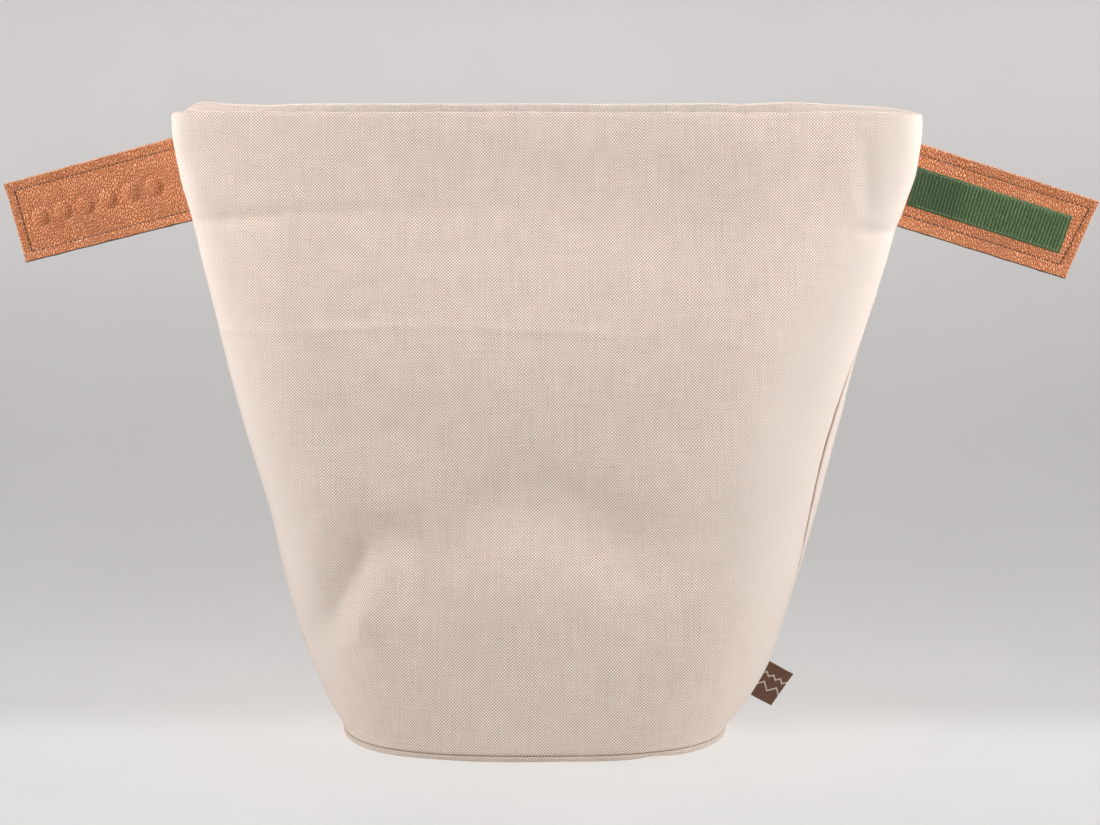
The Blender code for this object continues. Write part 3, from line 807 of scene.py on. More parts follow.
def build_stitches(name, strip, line, sides, surface, pitch, thread, material):
    """Make a line of stitches, each a short thread whose ends dip into the strip."""
    points, faces = [], []
    half = pitch * STITCH_HALF
    for side in sides:
        for out, up, run_out, run_up in stitch_places(line, pitch):
            tilt = STITCH_TILT * noise.noise(Vector((out * 0.7, up * 0.9, side)))
            turn_out, turn_up = run_out - tilt * run_up, run_up + tilt * run_out
            faces += tube_faces(len(points), STITCH_RINGS, STITCH_AROUND)
            for part in np.linspace(-1.0, 1.0, STITCH_RINGS):
                radius = thread / 2 * math.sqrt(max(STITCH_BLUNT, 1 - part ** 6))
                depth = surface - STITCH_DIP * thread * part ** 4
                for step in range(STITCH_AROUND):
                    angle = 2 * math.pi * step / STITCH_AROUND
                    aside, rise = radius * math.cos(angle), radius * math.sin(angle)
                    points.append(strip_points(
                        strip, np.array(out + turn_out * half * part - turn_up * aside),
                        np.array(up + turn_up * half * part + turn_out * aside),
                        np.array(side * (depth + rise))))
    piece_from(name, points, faces, [material])


def build_tape(tape, material):
    """Make the hook tape's ground: a ribbed strip with flat edges."""
    out = np.arange(-HOOK_TAPE.inside, HOOK_TAPE.length + TAPE_STEP / 2, TAPE_STEP)
    out_grid, share_grid = np.meshgrid(out, np.linspace(-0.5, 0.5, TAPE_COLUMNS), indexing="ij")
    up_grid = share_grid * HOOK_TAPE.root_width
    edge_distance = HOOK_TAPE.root_width / 2 - np.abs(up_grid)
    inside = soft_step((edge_distance - TAPE_SELVEDGE) / TAPE_SELVEDGE_EASE)
    ribs = TAPE_RIB * inside * np.cos(2 * math.pi * out_grid / (tape.row_pitch / MM))
    edge = TAPE_EDGE * roll_in(edge_distance, TAPE_EDGE_WIDTH) / TAPE_EDGE_WIDTH
    front = strip_points(HOOK_TAPE, out_grid, up_grid, edge - TAPE_BACK - TAPE_THICK - ribs)
    back = strip_points(HOOK_TAPE, out_grid, up_grid, np.full_like(up_grid, -TAPE_BACK))
    flat = np.stack([out_grid, up_grid], 2)
    body, lower_end, upper_end = sheet_faces(len(out), 0, TAPE_COLUMNS)
    ground = piece_from("tape_ground", np.concatenate([front, back[::-1]]),
                        body + lower_end + upper_end, [material], "hook_tape",
                        np.concatenate([flat, flat[::-1]]))


def build_hooks(tape, material):
    """Make the tape's hooks, in rows across it, each a small bent thread."""
    points, faces = [], []
    row_pitch, hook_pitch = tape.row_pitch / MM, tape.hook_pitch / MM
    first = math.ceil((HOOK_MARGIN - HOOK_TAPE.inside) / row_pitch)
    last = math.floor((HOOK_TAPE.length - HOOK_MARGIN) / row_pitch)
    across = int((HOOK_TAPE.root_width - 2 * HOOK_SIDE_MARGIN) / hook_pitch)
    for row in range(first, last + 1):
        out = row * row_pitch
        pressed = float(soft_step((PRESSED_END - out) / PRESSED_FADE))
        loose = HOOK_LOOSE[0] + HOOK_LOOSE[1] * pressed
        for column in range(across):
            up = (column + 0.5) * hook_pitch - across * hook_pitch / 2
            lean = 1 if (row + column) % 2 else -1
            wander = loose * noise.noise(Vector((out * 1.7, up * 1.3, 4.0)))
            faces += tube_faces(len(points), HOOK_RINGS, HOOK_AROUND)
            for part in np.linspace(0.0, 1.0, HOOK_RINGS):
                turn = HOOK_TURN * max(0.0, part - HOOK_STEM_SHARE) / (1 - HOOK_STEM_SHARE)
                rise = HOOK_STEM * min(1.0, part / HOOK_STEM_SHARE) + HOOK_BEND * math.sin(turn)
                reach = HOOK_CURL * (1 - math.cos(turn)) * lean
                for step in range(HOOK_AROUND):
                    angle = 2 * math.pi * step / HOOK_AROUND
                    ahead, aside = HOOK_RADIUS * math.cos(angle), HOOK_RADIUS * math.sin(angle)
                    points.append(strip_points(
                        HOOK_TAPE, np.array(out + reach + wander + ahead * math.cos(turn)),
                        np.array(up + wander + aside),
                        np.array(-(HOOK_FOOT + rise + ahead * math.sin(turn)))))
    piece_from("tape_hooks", points, faces, [material])


# ---------------------------------------------------------------- materials

def add_node(tree, kind, **settings):
    """Add a node and set its properties."""
    node = tree.nodes.new(kind)
    for name, value in settings.items():
        setattr(node, name, value)
    return node


def feed(socket, value):
    """Link a socket to another, or set its value."""
    if isinstance(value, bpy.types.NodeSocket):
        socket.id_data.links.new(value, socket)
    else:
        socket.default_value = value


def set_values(node, **values):
    """Link or set a node's inputs by name, with _ for each space."""
    for label, value in values.items():
        feed(node.inputs[label.replace("_", " ")], value)


def calc(tree, operation, *values):
    """Add a Math node and return its result."""
    node = add_node(tree, "ShaderNodeMath", operation=operation)
    for socket, value in zip(node.inputs, values):
        feed(socket, value)
    return node.outputs[0]


def vector_calc(tree, operation, first, second):
    """Add a Vector Math node and return its vector."""
    node = add_node(tree, "ShaderNodeVectorMath", operation=operation)
    feed(node.inputs[0], first)
    feed(node.inputs["Scale" if operation == "SCALE" else 1], second)
    return node.outputs[0]


def separate(tree, vector):
    """Return the three values of a vector."""
    node = add_node(tree, "ShaderNodeSeparateXYZ")
    feed(node.inputs[0], vector)
    return node.outputs


def grey(tree, value):
    """Return the grey of a value."""
    node = add_node(tree, "ShaderNodeCombineColor")
    for socket in node.inputs:
        feed(socket, value)
    return node.outputs[0]


def mask(tree, name):
    """Return a mask that the mesh carries."""
    return add_node(tree, "ShaderNodeAttribute", attribute_name=name).outputs["Fac"]


def object_place(tree):
    """Return the place on the object in metres."""
    return add_node(tree, "ShaderNodeTexCoord").outputs["Object"]


def ramp(tree, value, from_low, from_high, to_low=0.0, to_high=1.0):
    """Ease a value from one range to another."""
    node = add_node(tree, "ShaderNodeMapRange", interpolation_type="SMOOTHSTEP")
    for socket, number in zip(node.inputs, (value, from_low, from_high, to_low, to_high)):
        feed(socket, number)
    return node.outputs[0]


def blend_colours(tree, share, first, second, mode="MIX"):
    """Mix two colours."""
    node = add_node(tree, "ShaderNodeMix", data_type="RGBA", blend_type=mode)
    feed(node.inputs[0], share)
    feed(node.inputs[6], first)
    feed(node.inputs[7], second)
    return node.outputs[2]


def noise_texture(tree, place, scale, detail=2.0, roughness=0.5):
    """Add a noise texture and return its outputs."""
    node = add_node(tree, "ShaderNodeTexNoise")
    set_values(node, Vector=place, Scale=scale, Detail=detail, Roughness=roughness)
    return node.outputs


def noise_value(tree, place, scale, detail=2.0, roughness=0.5):
    """Return the value of a noise texture."""
    return noise_texture(tree, place, scale, detail, roughness)["Fac"]


def strayed(tree, flat, scale, detail, reach):
    """Return flat places that stray by up to half a reach."""
    drift = noise_texture(tree, flat, scale, detail)["Color"]
    drift = vector_calc(tree, "SUBTRACT", drift, (0.5, 0.5, 0.5))
    return vector_calc(tree, "ADD", flat, vector_calc(tree, "MULTIPLY", drift, (reach, reach, 0.0)))


def place_vector(tree, x, y, z=0.0):
    """Join three values into a vector."""
    node = add_node(tree, "ShaderNodeCombineXYZ")
    for socket, value in zip(node.inputs, (x, y, z)):
        feed(socket, value)
    return node.outputs[0]


def new_group(name, inputs, outputs):
    """Start a shader node group with named sockets; return its tree, inputs and outputs."""
    tree = bpy.data.node_groups.new(name, "ShaderNodeTree")
    for label, kind, value in inputs:
        socket = tree.interface.new_socket(label, in_out="INPUT", socket_type=kind)
        if value is not None:
            socket.default_value = value
    for label, kind in outputs:
        tree.interface.new_socket(label, in_out="OUTPUT", socket_type=kind)
    entry, leave = tree.nodes.new("NodeGroupInput"), tree.nodes.new("NodeGroupOutput")
    return tree, entry.outputs, leave.inputs


def woven_threads():
    """Return the group for plain woven cloth of two kinds of thread, made once."""
    known = bpy.data.node_groups.get("woven_threads")
    if known:
        return known
    tree, entry, leave = new_group("woven_threads", [
        ("Flat", "NodeSocketVector", None),
        ("Warp Pitch", "NodeSocketFloat", 0.00078),
        ("Weft Pitch", "NodeSocketFloat", 0.0008),
        ("Warp Colour", "NodeSocketColor", (0.9, 0.8, 0.7, 1.0)),
        ("Weft Colour", "NodeSocketColor", (0.5, 0.35, 0.25, 1.0)),
        ("Slub Colour", "NodeSocketColor", (0.6, 0.3, 0.15, 1.0)),
        ("Streaks", "NodeSocketFloat", 0.5),
    ], [("Colour", "NodeSocketColor"), ("Height", "NodeSocketFloat"),
        ("Roughness", "NodeSocketFloat"), ("Mottle", "NodeSocketFloat")])
    across, up, _ = separate(tree, strayed(tree, entry["Flat"], 55.0, 3.0, 0.0022))
    warp = calc(tree, "DIVIDE", across, entry["Warp Pitch"])
    weft = calc(tree, "DIVIDE", up, entry["Weft Pitch"])
    warp_wave = calc(tree, "SINE", calc(tree, "MULTIPLY", warp, math.pi))
    weft_wave = calc(tree, "SINE", calc(tree, "MULTIPLY", weft, math.pi))
    # Where the crossing is above zero the warp lies on top, below it the weft
    crossing = calc(tree, "MULTIPLY", warp_wave, weft_wave)
    over = ramp(tree, crossing, -0.22, 0.22)
    # Each thread varies along its length, and far more from thread to thread
    warp_streak = noise_value(tree, place_vector(tree, warp, calc(tree, "MULTIPLY", weft, 0.035)),
                              0.9, 2.0)
    weft_streak = noise_value(
        tree, place_vector(tree, calc(tree, "MULTIPLY", warp, 0.035), weft, 9.0), 0.9, 2.0)
    streak = add_node(tree, "ShaderNodeMix", data_type="FLOAT")
    feed(streak.inputs[0], over)
    feed(streak.inputs[2], weft_streak)
    feed(streak.inputs[3], warp_streak)
    streak = streak.outputs[0]
    threads = blend_colours(tree, over, entry["Weft Colour"], entry["Warp Colour"])
    # Thick darker places in the weft
    slub = ramp(tree, noise_value(tree, entry["Flat"], 420.0, 3.0, 0.65), 0.5, 0.68)
    slub = calc(tree, "MULTIPLY", slub, calc(tree, "SUBTRACT", 1.0, over))
    threads = blend_colours(tree, calc(tree, "MULTIPLY", slub, 0.6), threads,
                            entry["Slub Colour"])
    shade = calc(tree, "MULTIPLY", calc(tree, "SUBTRACT", streak, 0.5), entry["Streaks"])
    mottle = noise_value(tree, entry["Flat"], 90.0, 4.0, 0.7)
    shade = calc(tree, "ADD", shade, calc(tree, "MULTIPLY", calc(tree, "SUBTRACT", mottle, 0.5),
                                          0.22))
    # The threads bulge between their crossings, with painted shade in a dark hollow at each corner
    height = calc(tree, "POWER", calc(tree, "ABSOLUTE", crossing), 0.5)
    pit = ramp(tree, height, 0.0, 0.55, 0.80, 1.0)
    shade = calc(tree, "MULTIPLY", calc(tree, "ADD", shade, 1.0), pit)
    feed(leave["Colour"], blend_colours(tree, 1.0, threads, grey(tree, shade), "MULTIPLY"))
    thick = calc(tree, "MULTIPLY", calc(tree, "SUBTRACT", streak, 0.5), 0.8)
    feed(leave["Height"], calc(tree, "ADD", height, thick))
    feed(leave["Roughness"], ramp(tree, height, 0.0, 1.0, 0.95, 0.82))
    feed(leave["Mottle"], mottle)
    return tree


def pebble_grain():
    """Return the group for pebbled leather, made once, with painted shade in its creases and a
    painted highlight on its crests.
    """
    known = bpy.data.node_groups.get("pebble_grain")
    if known:
        return known
    tree, entry, leave = new_group("pebble_grain", [
        ("Flat", "NodeSocketVector", None),
        ("Grain", "NodeSocketFloat", 0.0013),
        ("Colour", "NodeSocketColor", (0.6, 0.2, 0.1, 1.0)),
        ("Crease Colour", "NodeSocketColor", (0.3, 0.08, 0.03, 1.0)),
        ("Crest Colour", "NodeSocketColor", (0.8, 0.4, 0.25, 1.0)),
    ], [("Colour", "NodeSocketColor"), ("Height", "NodeSocketFloat"),
        ("Roughness", "NodeSocketFloat")])
    place = strayed(tree, entry["Flat"], 38.0, 1.0, 0.012)
    stretched = vector_calc(tree, "MULTIPLY", place, (1.15, 0.6, 1.0))
    pebbles = vector_calc(tree, "SCALE", stretched, calc(tree, "DIVIDE", 1.0, entry["Grain"]))
    cells = add_node(tree, "ShaderNodeTexVoronoi", feature="DISTANCE_TO_EDGE",
                     voronoi_dimensions="2D")
    set_values(cells, Vector=pebbles, Scale=1.0)
    rise = cells.outputs["Distance"]
    pebble = ramp(tree, rise, 0.0, 0.34)
    fine = noise_value(tree, entry["Flat"], 2200.0, 3.0)
    broad = noise_value(tree, entry["Flat"], 90.0, 3.0)
    height = calc(tree, "ADD", pebble, calc(tree, "MULTIPLY", fine, 0.2))
    # Painted shade in the creases between the pebbles
    crease = ramp(tree, rise, 0.0, 0.16, 0.0, 1.0)
    colour = blend_colours(tree, crease, entry["Crease Colour"], entry["Colour"])
    # Painted highlight on the pebbles' crests, patchy
    crest = calc(tree, "MULTIPLY", ramp(tree, rise, 0.12, 0.4), ramp(tree, broad, 0.25, 0.75))
    colour = blend_colours(tree, calc(tree, "MULTIPLY", crest, 0.75), colour,
                           entry["Crest Colour"])
    feed(leave["Colour"], colour)
    feed(leave["Height"], height)
    feed(leave["Roughness"], ramp(tree, pebble, 0.0, 1.0, 0.62, 0.46))
    return tree


def place_group(tree, group, **values):
    """Put a node group in a material with its own values; return its outputs."""
    node = add_node(tree, "ShaderNodeGroup", node_tree=group)
    set_values(node, **values)
    return node.outputs


def new_material(name, **values):
    """Start a material; return it with its tree and its Principled shader."""
    material = bpy.data.materials.new(name)
    material.use_nodes = True
    shader = material.node_tree.nodes["Principled BSDF"]
    set_values(shader, **values)
    return material, material.node_tree, shader


def flat_place(tree):
    """Return the flat map's places."""
    return add_node(tree, "ShaderNodeUVMap", uv_map="cloth_flat").outputs[0]


def bump(tree, shader, height, distance, strength=1.0):
    """Let a height roughen the surface."""
    node = add_node(tree, "ShaderNodeBump")
    set_values(node, Strength=strength, Distance=distance, Height=height)
    feed(shader.inputs["Normal"], node.outputs[0])


def darker(colour, share):
    """Return a colour at a share of its brightness."""
    return (*(part * share for part in colour[:3]), 1.0)


def linen_material(name, linen, weft_colour):
    """Make the bag's cloth: pale warp and tan weft in a plain weave, with painted shade in the
    seams and on the rim's fold, and painted glare and paler painted light beside the side seams.
    """
    material, tree, shader = new_material(
        name, Specular_IOR_Level=0.2, Sheen_Weight=0.6, Sheen_Roughness=0.35,
        Sheen_Tint=(1.0, 0.93, 0.86, 1.0))
    weave = place_group(tree, woven_threads(), Flat=flat_place(tree),
                        Warp_Pitch=linen.warp_pitch, Weft_Pitch=linen.weft_pitch,
                        Warp_Colour=linen.warp_colour, Weft_Colour=weft_colour,
                        Slub_Colour=linen.slub_colour, Streaks=linen.streaks)
    # Painted light: paler towards the side seams
    paler = calc(tree, "MULTIPLY_ADD", mask(tree, "faded"), linen.side_light_paling, 1.0)
    colour = vector_calc(tree, "SCALE", weave["Colour"], paler)
    # Painted glare beside the side seams: the weave is blended towards a pale colour and its bump
    # smoothed
    fuzz = calc(tree, "MULTIPLY", mask(tree, "fuzz"),
                ramp(tree, weave["Mottle"], 0.35, 0.6, 0.8, 0.94))
    colour = blend_colours(tree, fuzz, colour, linen.glare_colour)
    # Painted shade in the seams and on the rim's fold
    shade = calc(tree, "MULTIPLY", mask(tree, "seam_shade"), 0.75)
    feed(shader.inputs["Base Color"], blend_colours(tree, shade, colour, linen.seam_colour))
    feed(shader.inputs["Roughness"], weave["Roughness"])
    smooth = calc(tree, "SUBTRACT", 1.0, calc(tree, "MULTIPLY", fuzz, 0.8))
    bump(tree, shader, calc(tree, "MULTIPLY", weave["Height"], smooth), 0.00022, 0.8)
    return material


def leather_material(leather):
    """Make the straps' pebbled leather."""
    material, tree, shader = new_material("strap_leather", Specular_IOR_Level=0.4)
    grain = place_group(tree, pebble_grain(), Flat=flat_place(tree), Grain=leather.grain,
                        Colour=leather.colour, Crease_Colour=leather.crease_shade_colour,
                        Crest_Colour=leather.crest_highlight_colour)
    feed(shader.inputs["Base Color"], grain["Colour"])
    feed(shader.inputs["Roughness"], grain["Roughness"])
    bump(tree, shader, grain["Height"], 0.00042)
    return material


def leather_edge_material(name, colour):
    """Make the cut edge of the leather, with its fibres."""
    material, tree, shader = new_material(name)
    fibre = noise_value(tree, flat_place(tree), 1400.0, 3.0)
    feed(shader.inputs["Base Color"],
         blend_colours(tree, ramp(tree, fibre, 0.35, 0.6), darker(colour, 0.5), colour))
    feed(shader.inputs["Roughness"], ramp(tree, fibre, 0.0, 1.0, 0.9, 0.7))
    bump(tree, shader, fibre, 0.00015)
    return material


def thread_material(name, colour):
    """Make a twisted sewing thread."""
    material, tree, shader = new_material(name, Roughness=0.6, Sheen_Weight=0.3)
    wave = add_node(tree, "ShaderNodeTexWave", bands_direction="DIAGONAL")
    set_values(wave, Vector=object_place(tree), Scale=900.0, Distortion=2.0)
    twist = wave.outputs["Fac"]
    feed(shader.inputs["Base Color"], blend_colours(tree, twist, darker(colour, 0.45), colour))
    bump(tree, shader, twist, 0.00008)
    return material


def tape_material(tape):
    """Make the ribbed ground of the hook tape, with painted shade in the gaps between its ribs and
    a painted highlight on their tops.
    """
    material, tree, shader = new_material("tape_weave", Roughness=0.6)
    place = flat_place(tree)
    weave = place_group(tree, woven_threads(), Flat=place, Warp_Pitch=0.0004, Weft_Pitch=0.0004,
                        Warp_Colour=tape.colour, Weft_Colour=tape.deep_colour,
                        Slub_Colour=tape.colour, Streaks=0.8)
    out, up, _ = separate(tree, place)
    rib, gap = (calc(tree, "COSINE", calc(tree, "MULTIPLY", along, 2 * math.pi / pitch))
                for along, pitch in ((out, tape.row_pitch), (up, tape.hook_pitch)))
    edge = ramp(tree, calc(tree, "ABSOLUTE", up), 0.0094, 0.0089)
    # Painted shade in the gaps between the ribs
    gap_shade = calc(tree, "MULTIPLY", ramp(tree, rib, 0.3, -0.8), ramp(tree, gap, 0.0, 0.7, 0.05, 1.0))
    gap_shade = calc(tree, "MULTIPLY", gap_shade, edge)
    # Painted highlight on the ribs' tops, patchy
    painted_highlight_share = ramp(tree, noise_value(tree, place, 420.0), 0.35, 0.65, 0.0, 0.8)
    rib_highlight = calc(tree, "MULTIPLY", ramp(tree, rib, 0.1, 0.9), calc(tree, "MULTIPLY", edge, painted_highlight_share))
    colour = blend_colours(tree, rib_highlight, weave["Colour"], tape.rib_highlight_colour)
    colour = blend_colours(tree, gap_shade, colour, tape.gap_shade_colour)
    pressed = ramp(tree, out, 0.022, 0.036, 0.8, 0.0)
    feed(shader.inputs["Base Color"], blend_colours(tree, pressed, colour, tape.deep_colour))
    bump(tree, shader, weave["Height"], 0.00012)
    return material


def hook_material(tape):
    """Make the hooks' shiny filament, darker where the hooks are pressed down."""
    material, tree, shader = new_material("hook_filament")
    place = object_place(tree)
    tone = noise_value(tree, place, 900.0, 1.0)
    pressed = ramp(tree, separate(tree, place)[0], 0.2, 0.214, 0.75, 0.0)
    pressed = calc(tree, "MULTIPLY", pressed, ramp(tree, tone, 0.5, 0.6, 1.0, 0.2))
    colour = blend_colours(tree, ramp(tree, tone, 0.35, 0.65), tape.colour, tape.hook_colour)
    feed(shader.inputs["Base Color"], blend_colours(tree, pressed, colour, tape.deep_colour))
    feed(shader.inputs["Roughness"], ramp(tree, tone, 0.3, 0.7, 0.3, 0.5))
    return material


def label_material(label):
    """Make the woven label: a brown ground with a pale border and zigzag."""
    material, tree, shader = new_material("label_weave", Roughness=0.7, Sheen_Weight=0.2)
    place = flat_place(tree)
    out, up, _ = separate(tree, place)
    ribs = calc(tree, "SINE", calc(tree, "MULTIPLY", calc(tree, "ADD", out, up), 9000.0))
    lines = []
    for middle, tooth in ((0.0036, 0.0019), (-0.0024, 0.0036)):
        rise = calc(tree, "SUBTRACT", calc(tree, "PINGPONG", out, tooth), tooth / 2 - middle)
        away = calc(tree, "ABSOLUTE", calc(tree, "SUBTRACT", up, rise))
        lines.append(ramp(tree, away, 0.00035, 0.0006, 1.0, 0.0))
    pale = calc(tree, "MAXIMUM", *lines)
    ground = blend_colours(tree, ramp(tree, ribs, -0.8, 0.8), label.deep_colour,
                           label.ground_colour)
    tone = ramp(tree, noise_value(tree, place, 1500.0), 0.3, 0.5, 0.55, 1.0)
    thread = calc(tree, "MULTIPLY", pale, tone)
    feed(shader.inputs["Base Color"], blend_colours(tree, thread, ground, label.thread_colour))
    bump(tree, shader, calc(tree, "ADD", ribs, calc(tree, "MULTIPLY", pale, 2.0)), 0.00006)
    return material


def stage_material(stage):
    """Make the stage's matt paper: palest on the floor, greyer with painted shade where it turns up
    behind.
    """
    material, tree, shader = new_material("stage_paper", Roughness=0.9, Specular_IOR_Level=0.1)
    place = object_place(tree)
    _, depth, height = separate(tree, place)
    # Painted shade: the paper darkens where it turns up behind the bag
    back = calc(tree, "MULTIPLY_ADD", ramp(tree, depth, -0.04, 0.055), 0.5,
                calc(tree, "MULTIPLY", ramp(tree, depth, 0.06, 0.6), 0.5))
    colour = blend_colours(tree, back, stage.floor_colour, stage.shade_colour)
    colour = blend_colours(tree, ramp(tree, height, 0.02, 0.34), colour, stage.backdrop_colour)
    tone = ramp(tree, noise_value(tree, place, 5.0, 4.0), 0.3, 0.7, 0.965, 1.0)
    feed(shader.inputs["Base Color"],
         blend_colours(tree, 1.0, colour, grey(tree, tone), "MULTIPLY"))
    # The back of the paper is clear to the eye, so that the bag can be looked at from behind
    behind = calc(tree, "MULTIPLY", add_node(tree, "ShaderNodeNewGeometry").outputs["Backfacing"],
                  add_node(tree, "ShaderNodeLightPath").outputs["Is Camera Ray"])
    clear = add_node(tree, "ShaderNodeMixShader")
    parts = (behind, shader.outputs[0], add_node(tree, "ShaderNodeBsdfTransparent").outputs[0])
    for socket, value in zip(clear.inputs, parts):
        feed(socket, value)
    feed(tree.nodes["Material Output"].inputs["Surface"], clear.outputs[0])
    return material


# ---------------------------------------------------------------- settings

def length_setting(name, description, default):
    """Return a length setting in metres."""
    return FloatProperty(name=name, description=description, default=default, min=0.00001,
                         unit="LENGTH", precision=5)


def colour_setting(name, description, default):
    """Return a colour setting."""
    return FloatVectorProperty(name=name, description=description, default=default + (1.0,),
                               size=4, min=0.0, max=1.0, subtype="COLOR")


def power_setting(name, description, default):
    """Return a setting for a light's power."""
    return FloatProperty(name=name, description=description, default=default, min=0.0,
                         unit="POWER")


class LinenSettings(PropertyGroup):
    """Sizes and colours of the bag's cloth."""
    cloth: length_setting("Cloth", "Thickness of one layer of the cloth", 0.0016)
    hem: length_setting("Hem", "Thickness of the cloth where the rim is doubled", 0.0028)
    warp_pitch: length_setting("Warp Pitch", "Space between upright threads", 0.00078)
    weft_pitch: length_setting("Weft Pitch", "Space between level threads", 0.0008)
    warp_colour: colour_setting("Warp", "Colour of the upright threads", (0.92, 0.84, 0.77))
    weft_colour: colour_setting("Weft", "Colour of the level threads", (0.57, 0.412, 0.312))
    slub_colour: colour_setting("Slub", "Colour of thick places in the threads",
                                (0.62, 0.30, 0.15))
    # Painted light: the weft inside the bag is painted paler, a lit copy of the cloth
    lit_inside_colour: colour_setting("Inside Weft", "Colour of the level threads inside the bag",
                                  (0.66, 0.56, 0.49))
    # Painted glare: the pale colour that washes out the weave beside the side seams
    glare_colour: colour_setting("Side Glare", "Colour of the cloth's nap", (0.72, 0.625, 0.56))
    seam_colour: colour_setting("Seam", "Colour of the cloth in the shade of a seam",
                                (0.30, 0.155, 0.08))
    streaks: FloatProperty(name="Streaks", description="How much threads differ in tone",
                           default=0.34, min=0.0, max=2.0)
    # Painted light: how much paler the cloth is painted towards the side seams
    side_light_paling: FloatProperty(name="Side Paling", description="How much paler the cloth is at the seams",
                          default=0.11, min=0.0, max=1.0)


class LeatherSettings(PropertyGroup):
    """Sizes and colours of the straps."""
    layer: length_setting("Layer", "Thickness of one layer of leather", 0.0012)
    grain: length_setting("Grain", "Size of a pebble of the grain", 0.00125)
    stitch: length_setting("Stitch", "Length from one stitch to the next", 0.0027)
    thread: length_setting("Thread", "Thickness of the sewing thread", 0.0005)
    colour: colour_setting("Leather", "Colour of the leather", (0.70, 0.26, 0.105))
    # Painted shade between the pebbles and painted highlight on their tops
    crease_shade_colour: colour_setting("Creases", "Colour between the pebbles", (0.40, 0.085, 0.016))
    crest_highlight_colour: colour_setting("Crests", "Colour of the pebbles' tops", (0.84, 0.42, 0.25))
    # Painted light on the upper cut edge and painted shade on the lower one, two copies of one edge
    # material
    lit_upper_edge: colour_setting("Upper Edge", "Colour of the upper cut edge", (0.75, 0.38, 0.24))
    shaded_lower_edge: colour_setting("Lower Edge", "Colour of the lower cut edge", (0.16, 0.09, 0.05))
    thread_colour: colour_setting("Thread", "Colour of the thread", (0.04, 0.034, 0.014))


class TapeSettings(PropertyGroup):
    """Sizes and colours of the hook tape."""
    row_pitch: length_setting("Row Pitch", "Space between rows of hooks", 0.00185)
    hook_pitch: length_setting("Hook Pitch", "Space between hooks in a row", 0.00125)
    colour: colour_setting("Tape", "Colour of the tape", (0.108, 0.198, 0.062))
    deep_colour: colour_setting("Tape Shade", "Colour between its threads", (0.04, 0.082, 0.026))
    # Painted highlight on the ribs' tops and painted shade in the gaps between them
    rib_highlight_colour: colour_setting("Ribs", "Colour of the ribs' tops", (0.18, 0.29, 0.11))
    gap_shade_colour: colour_setting("Gaps", "Colour of the gaps between ribs", (0.012, 0.026, 0.008))
    hook_colour: colour_setting("Hooks", "Colour of the hooks", (0.19, 0.30, 0.12))


class LabelSettings(PropertyGroup):
    """Colours of the woven label."""
    ground_colour: colour_setting("Ground", "Colour of the ground", (0.19, 0.082, 0.036))
    deep_colour: colour_setting("Ground Shade", "Colour between its threads", (0.075, 0.03, 0.012))
    thread_colour: colour_setting("Pattern", "Colour of the pale thread", (0.68, 0.58, 0.50))


class StageSettings(PropertyGroup):
    """The floor, the backdrop, the lights and the camera."""
    floor_colour: colour_setting("Floor", "Colour of the floor", (0.63, 0.625, 0.62))
    # Painted shade where the paper turns up behind the bag
    shade_colour: colour_setting("Sweep", "Colour where the paper turns up", (0.44, 0.43, 0.422))
    backdrop_colour: colour_setting("Backdrop", "Colour of the backdrop", (0.79, 0.775, 0.765))
    left_power: power_setting("Left Light", "Power of the light on the left", 2.5)
    right_power: power_setting("Right Light", "Power of the light on the right", 3.45)
    edge_power: power_setting("Edge Lights", "Power of each light beside the bag", 2.6)
    front_power: power_setting("Front Light", "Power of the light in front", 0.6)
    top_power: power_setting("Top Light", "Power of the light over the paper", 72.0)
    air_strength: FloatProperty(name="Air", description="Strength of the light from all around",
                                default=0.27, min=0.0)
    camera_distance: length_setting("Camera Distance", "From the camera to the bag", 2.24)
    camera_pitch: FloatProperty(name="Camera Pitch", description="How far the camera looks down",
                                default=math.radians(9.5), subtype="ANGLE")
    aim_height: length_setting("Aim Height", "Height at which the camera aims", 0.1614)
    focal_length: FloatProperty(name="Focal Length", description="Focal length in millimetres",
                                default=145.15, min=1.0)


class BagSettings(PropertyGroup):
    """All settings of the bag and its stage."""
    linen: PointerProperty(type=LinenSettings)
    leather: PointerProperty(type=LeatherSettings)
    tape: PointerProperty(type=TapeSettings)
    label: PointerProperty(type=LabelSettings)
    stage: PointerProperty(type=StageSettings)


# ---------------------------------------------------------------- operators

class BREADBAG_OT_wall(Operator):
    """Make the bag's front and back panels and its base"""
    bl_idname = "breadbag.wall"
    bl_label = "Linen Wall and Base"

    def execute(self, context):
        linen = context.scene.bread_bag.linen
        cloth = linen_material("bag_linen", linen, linen.weft_colour)
        # A lit copy of the cloth for the inside faces, its weft painted paler as painted light
        inside = linen_material("bag_linen_inside", linen, linen.lit_inside_colour)
        for name, node, face, folds, creases, seed in (
                ("linen_front", "front_panel", "front", FRONT_FOLDS, FRONT_CREASES, 0.0),
                ("linen_back", "back_panel", "back", BACK_FOLDS, BACK_CREASES, 50.0)):
            piece, flat = build_wall_panel(
                name, node, face, folds, creases, linen, [cloth, inside], seed)
        build_base(linen, cloth)
        return {"FINISHED"}


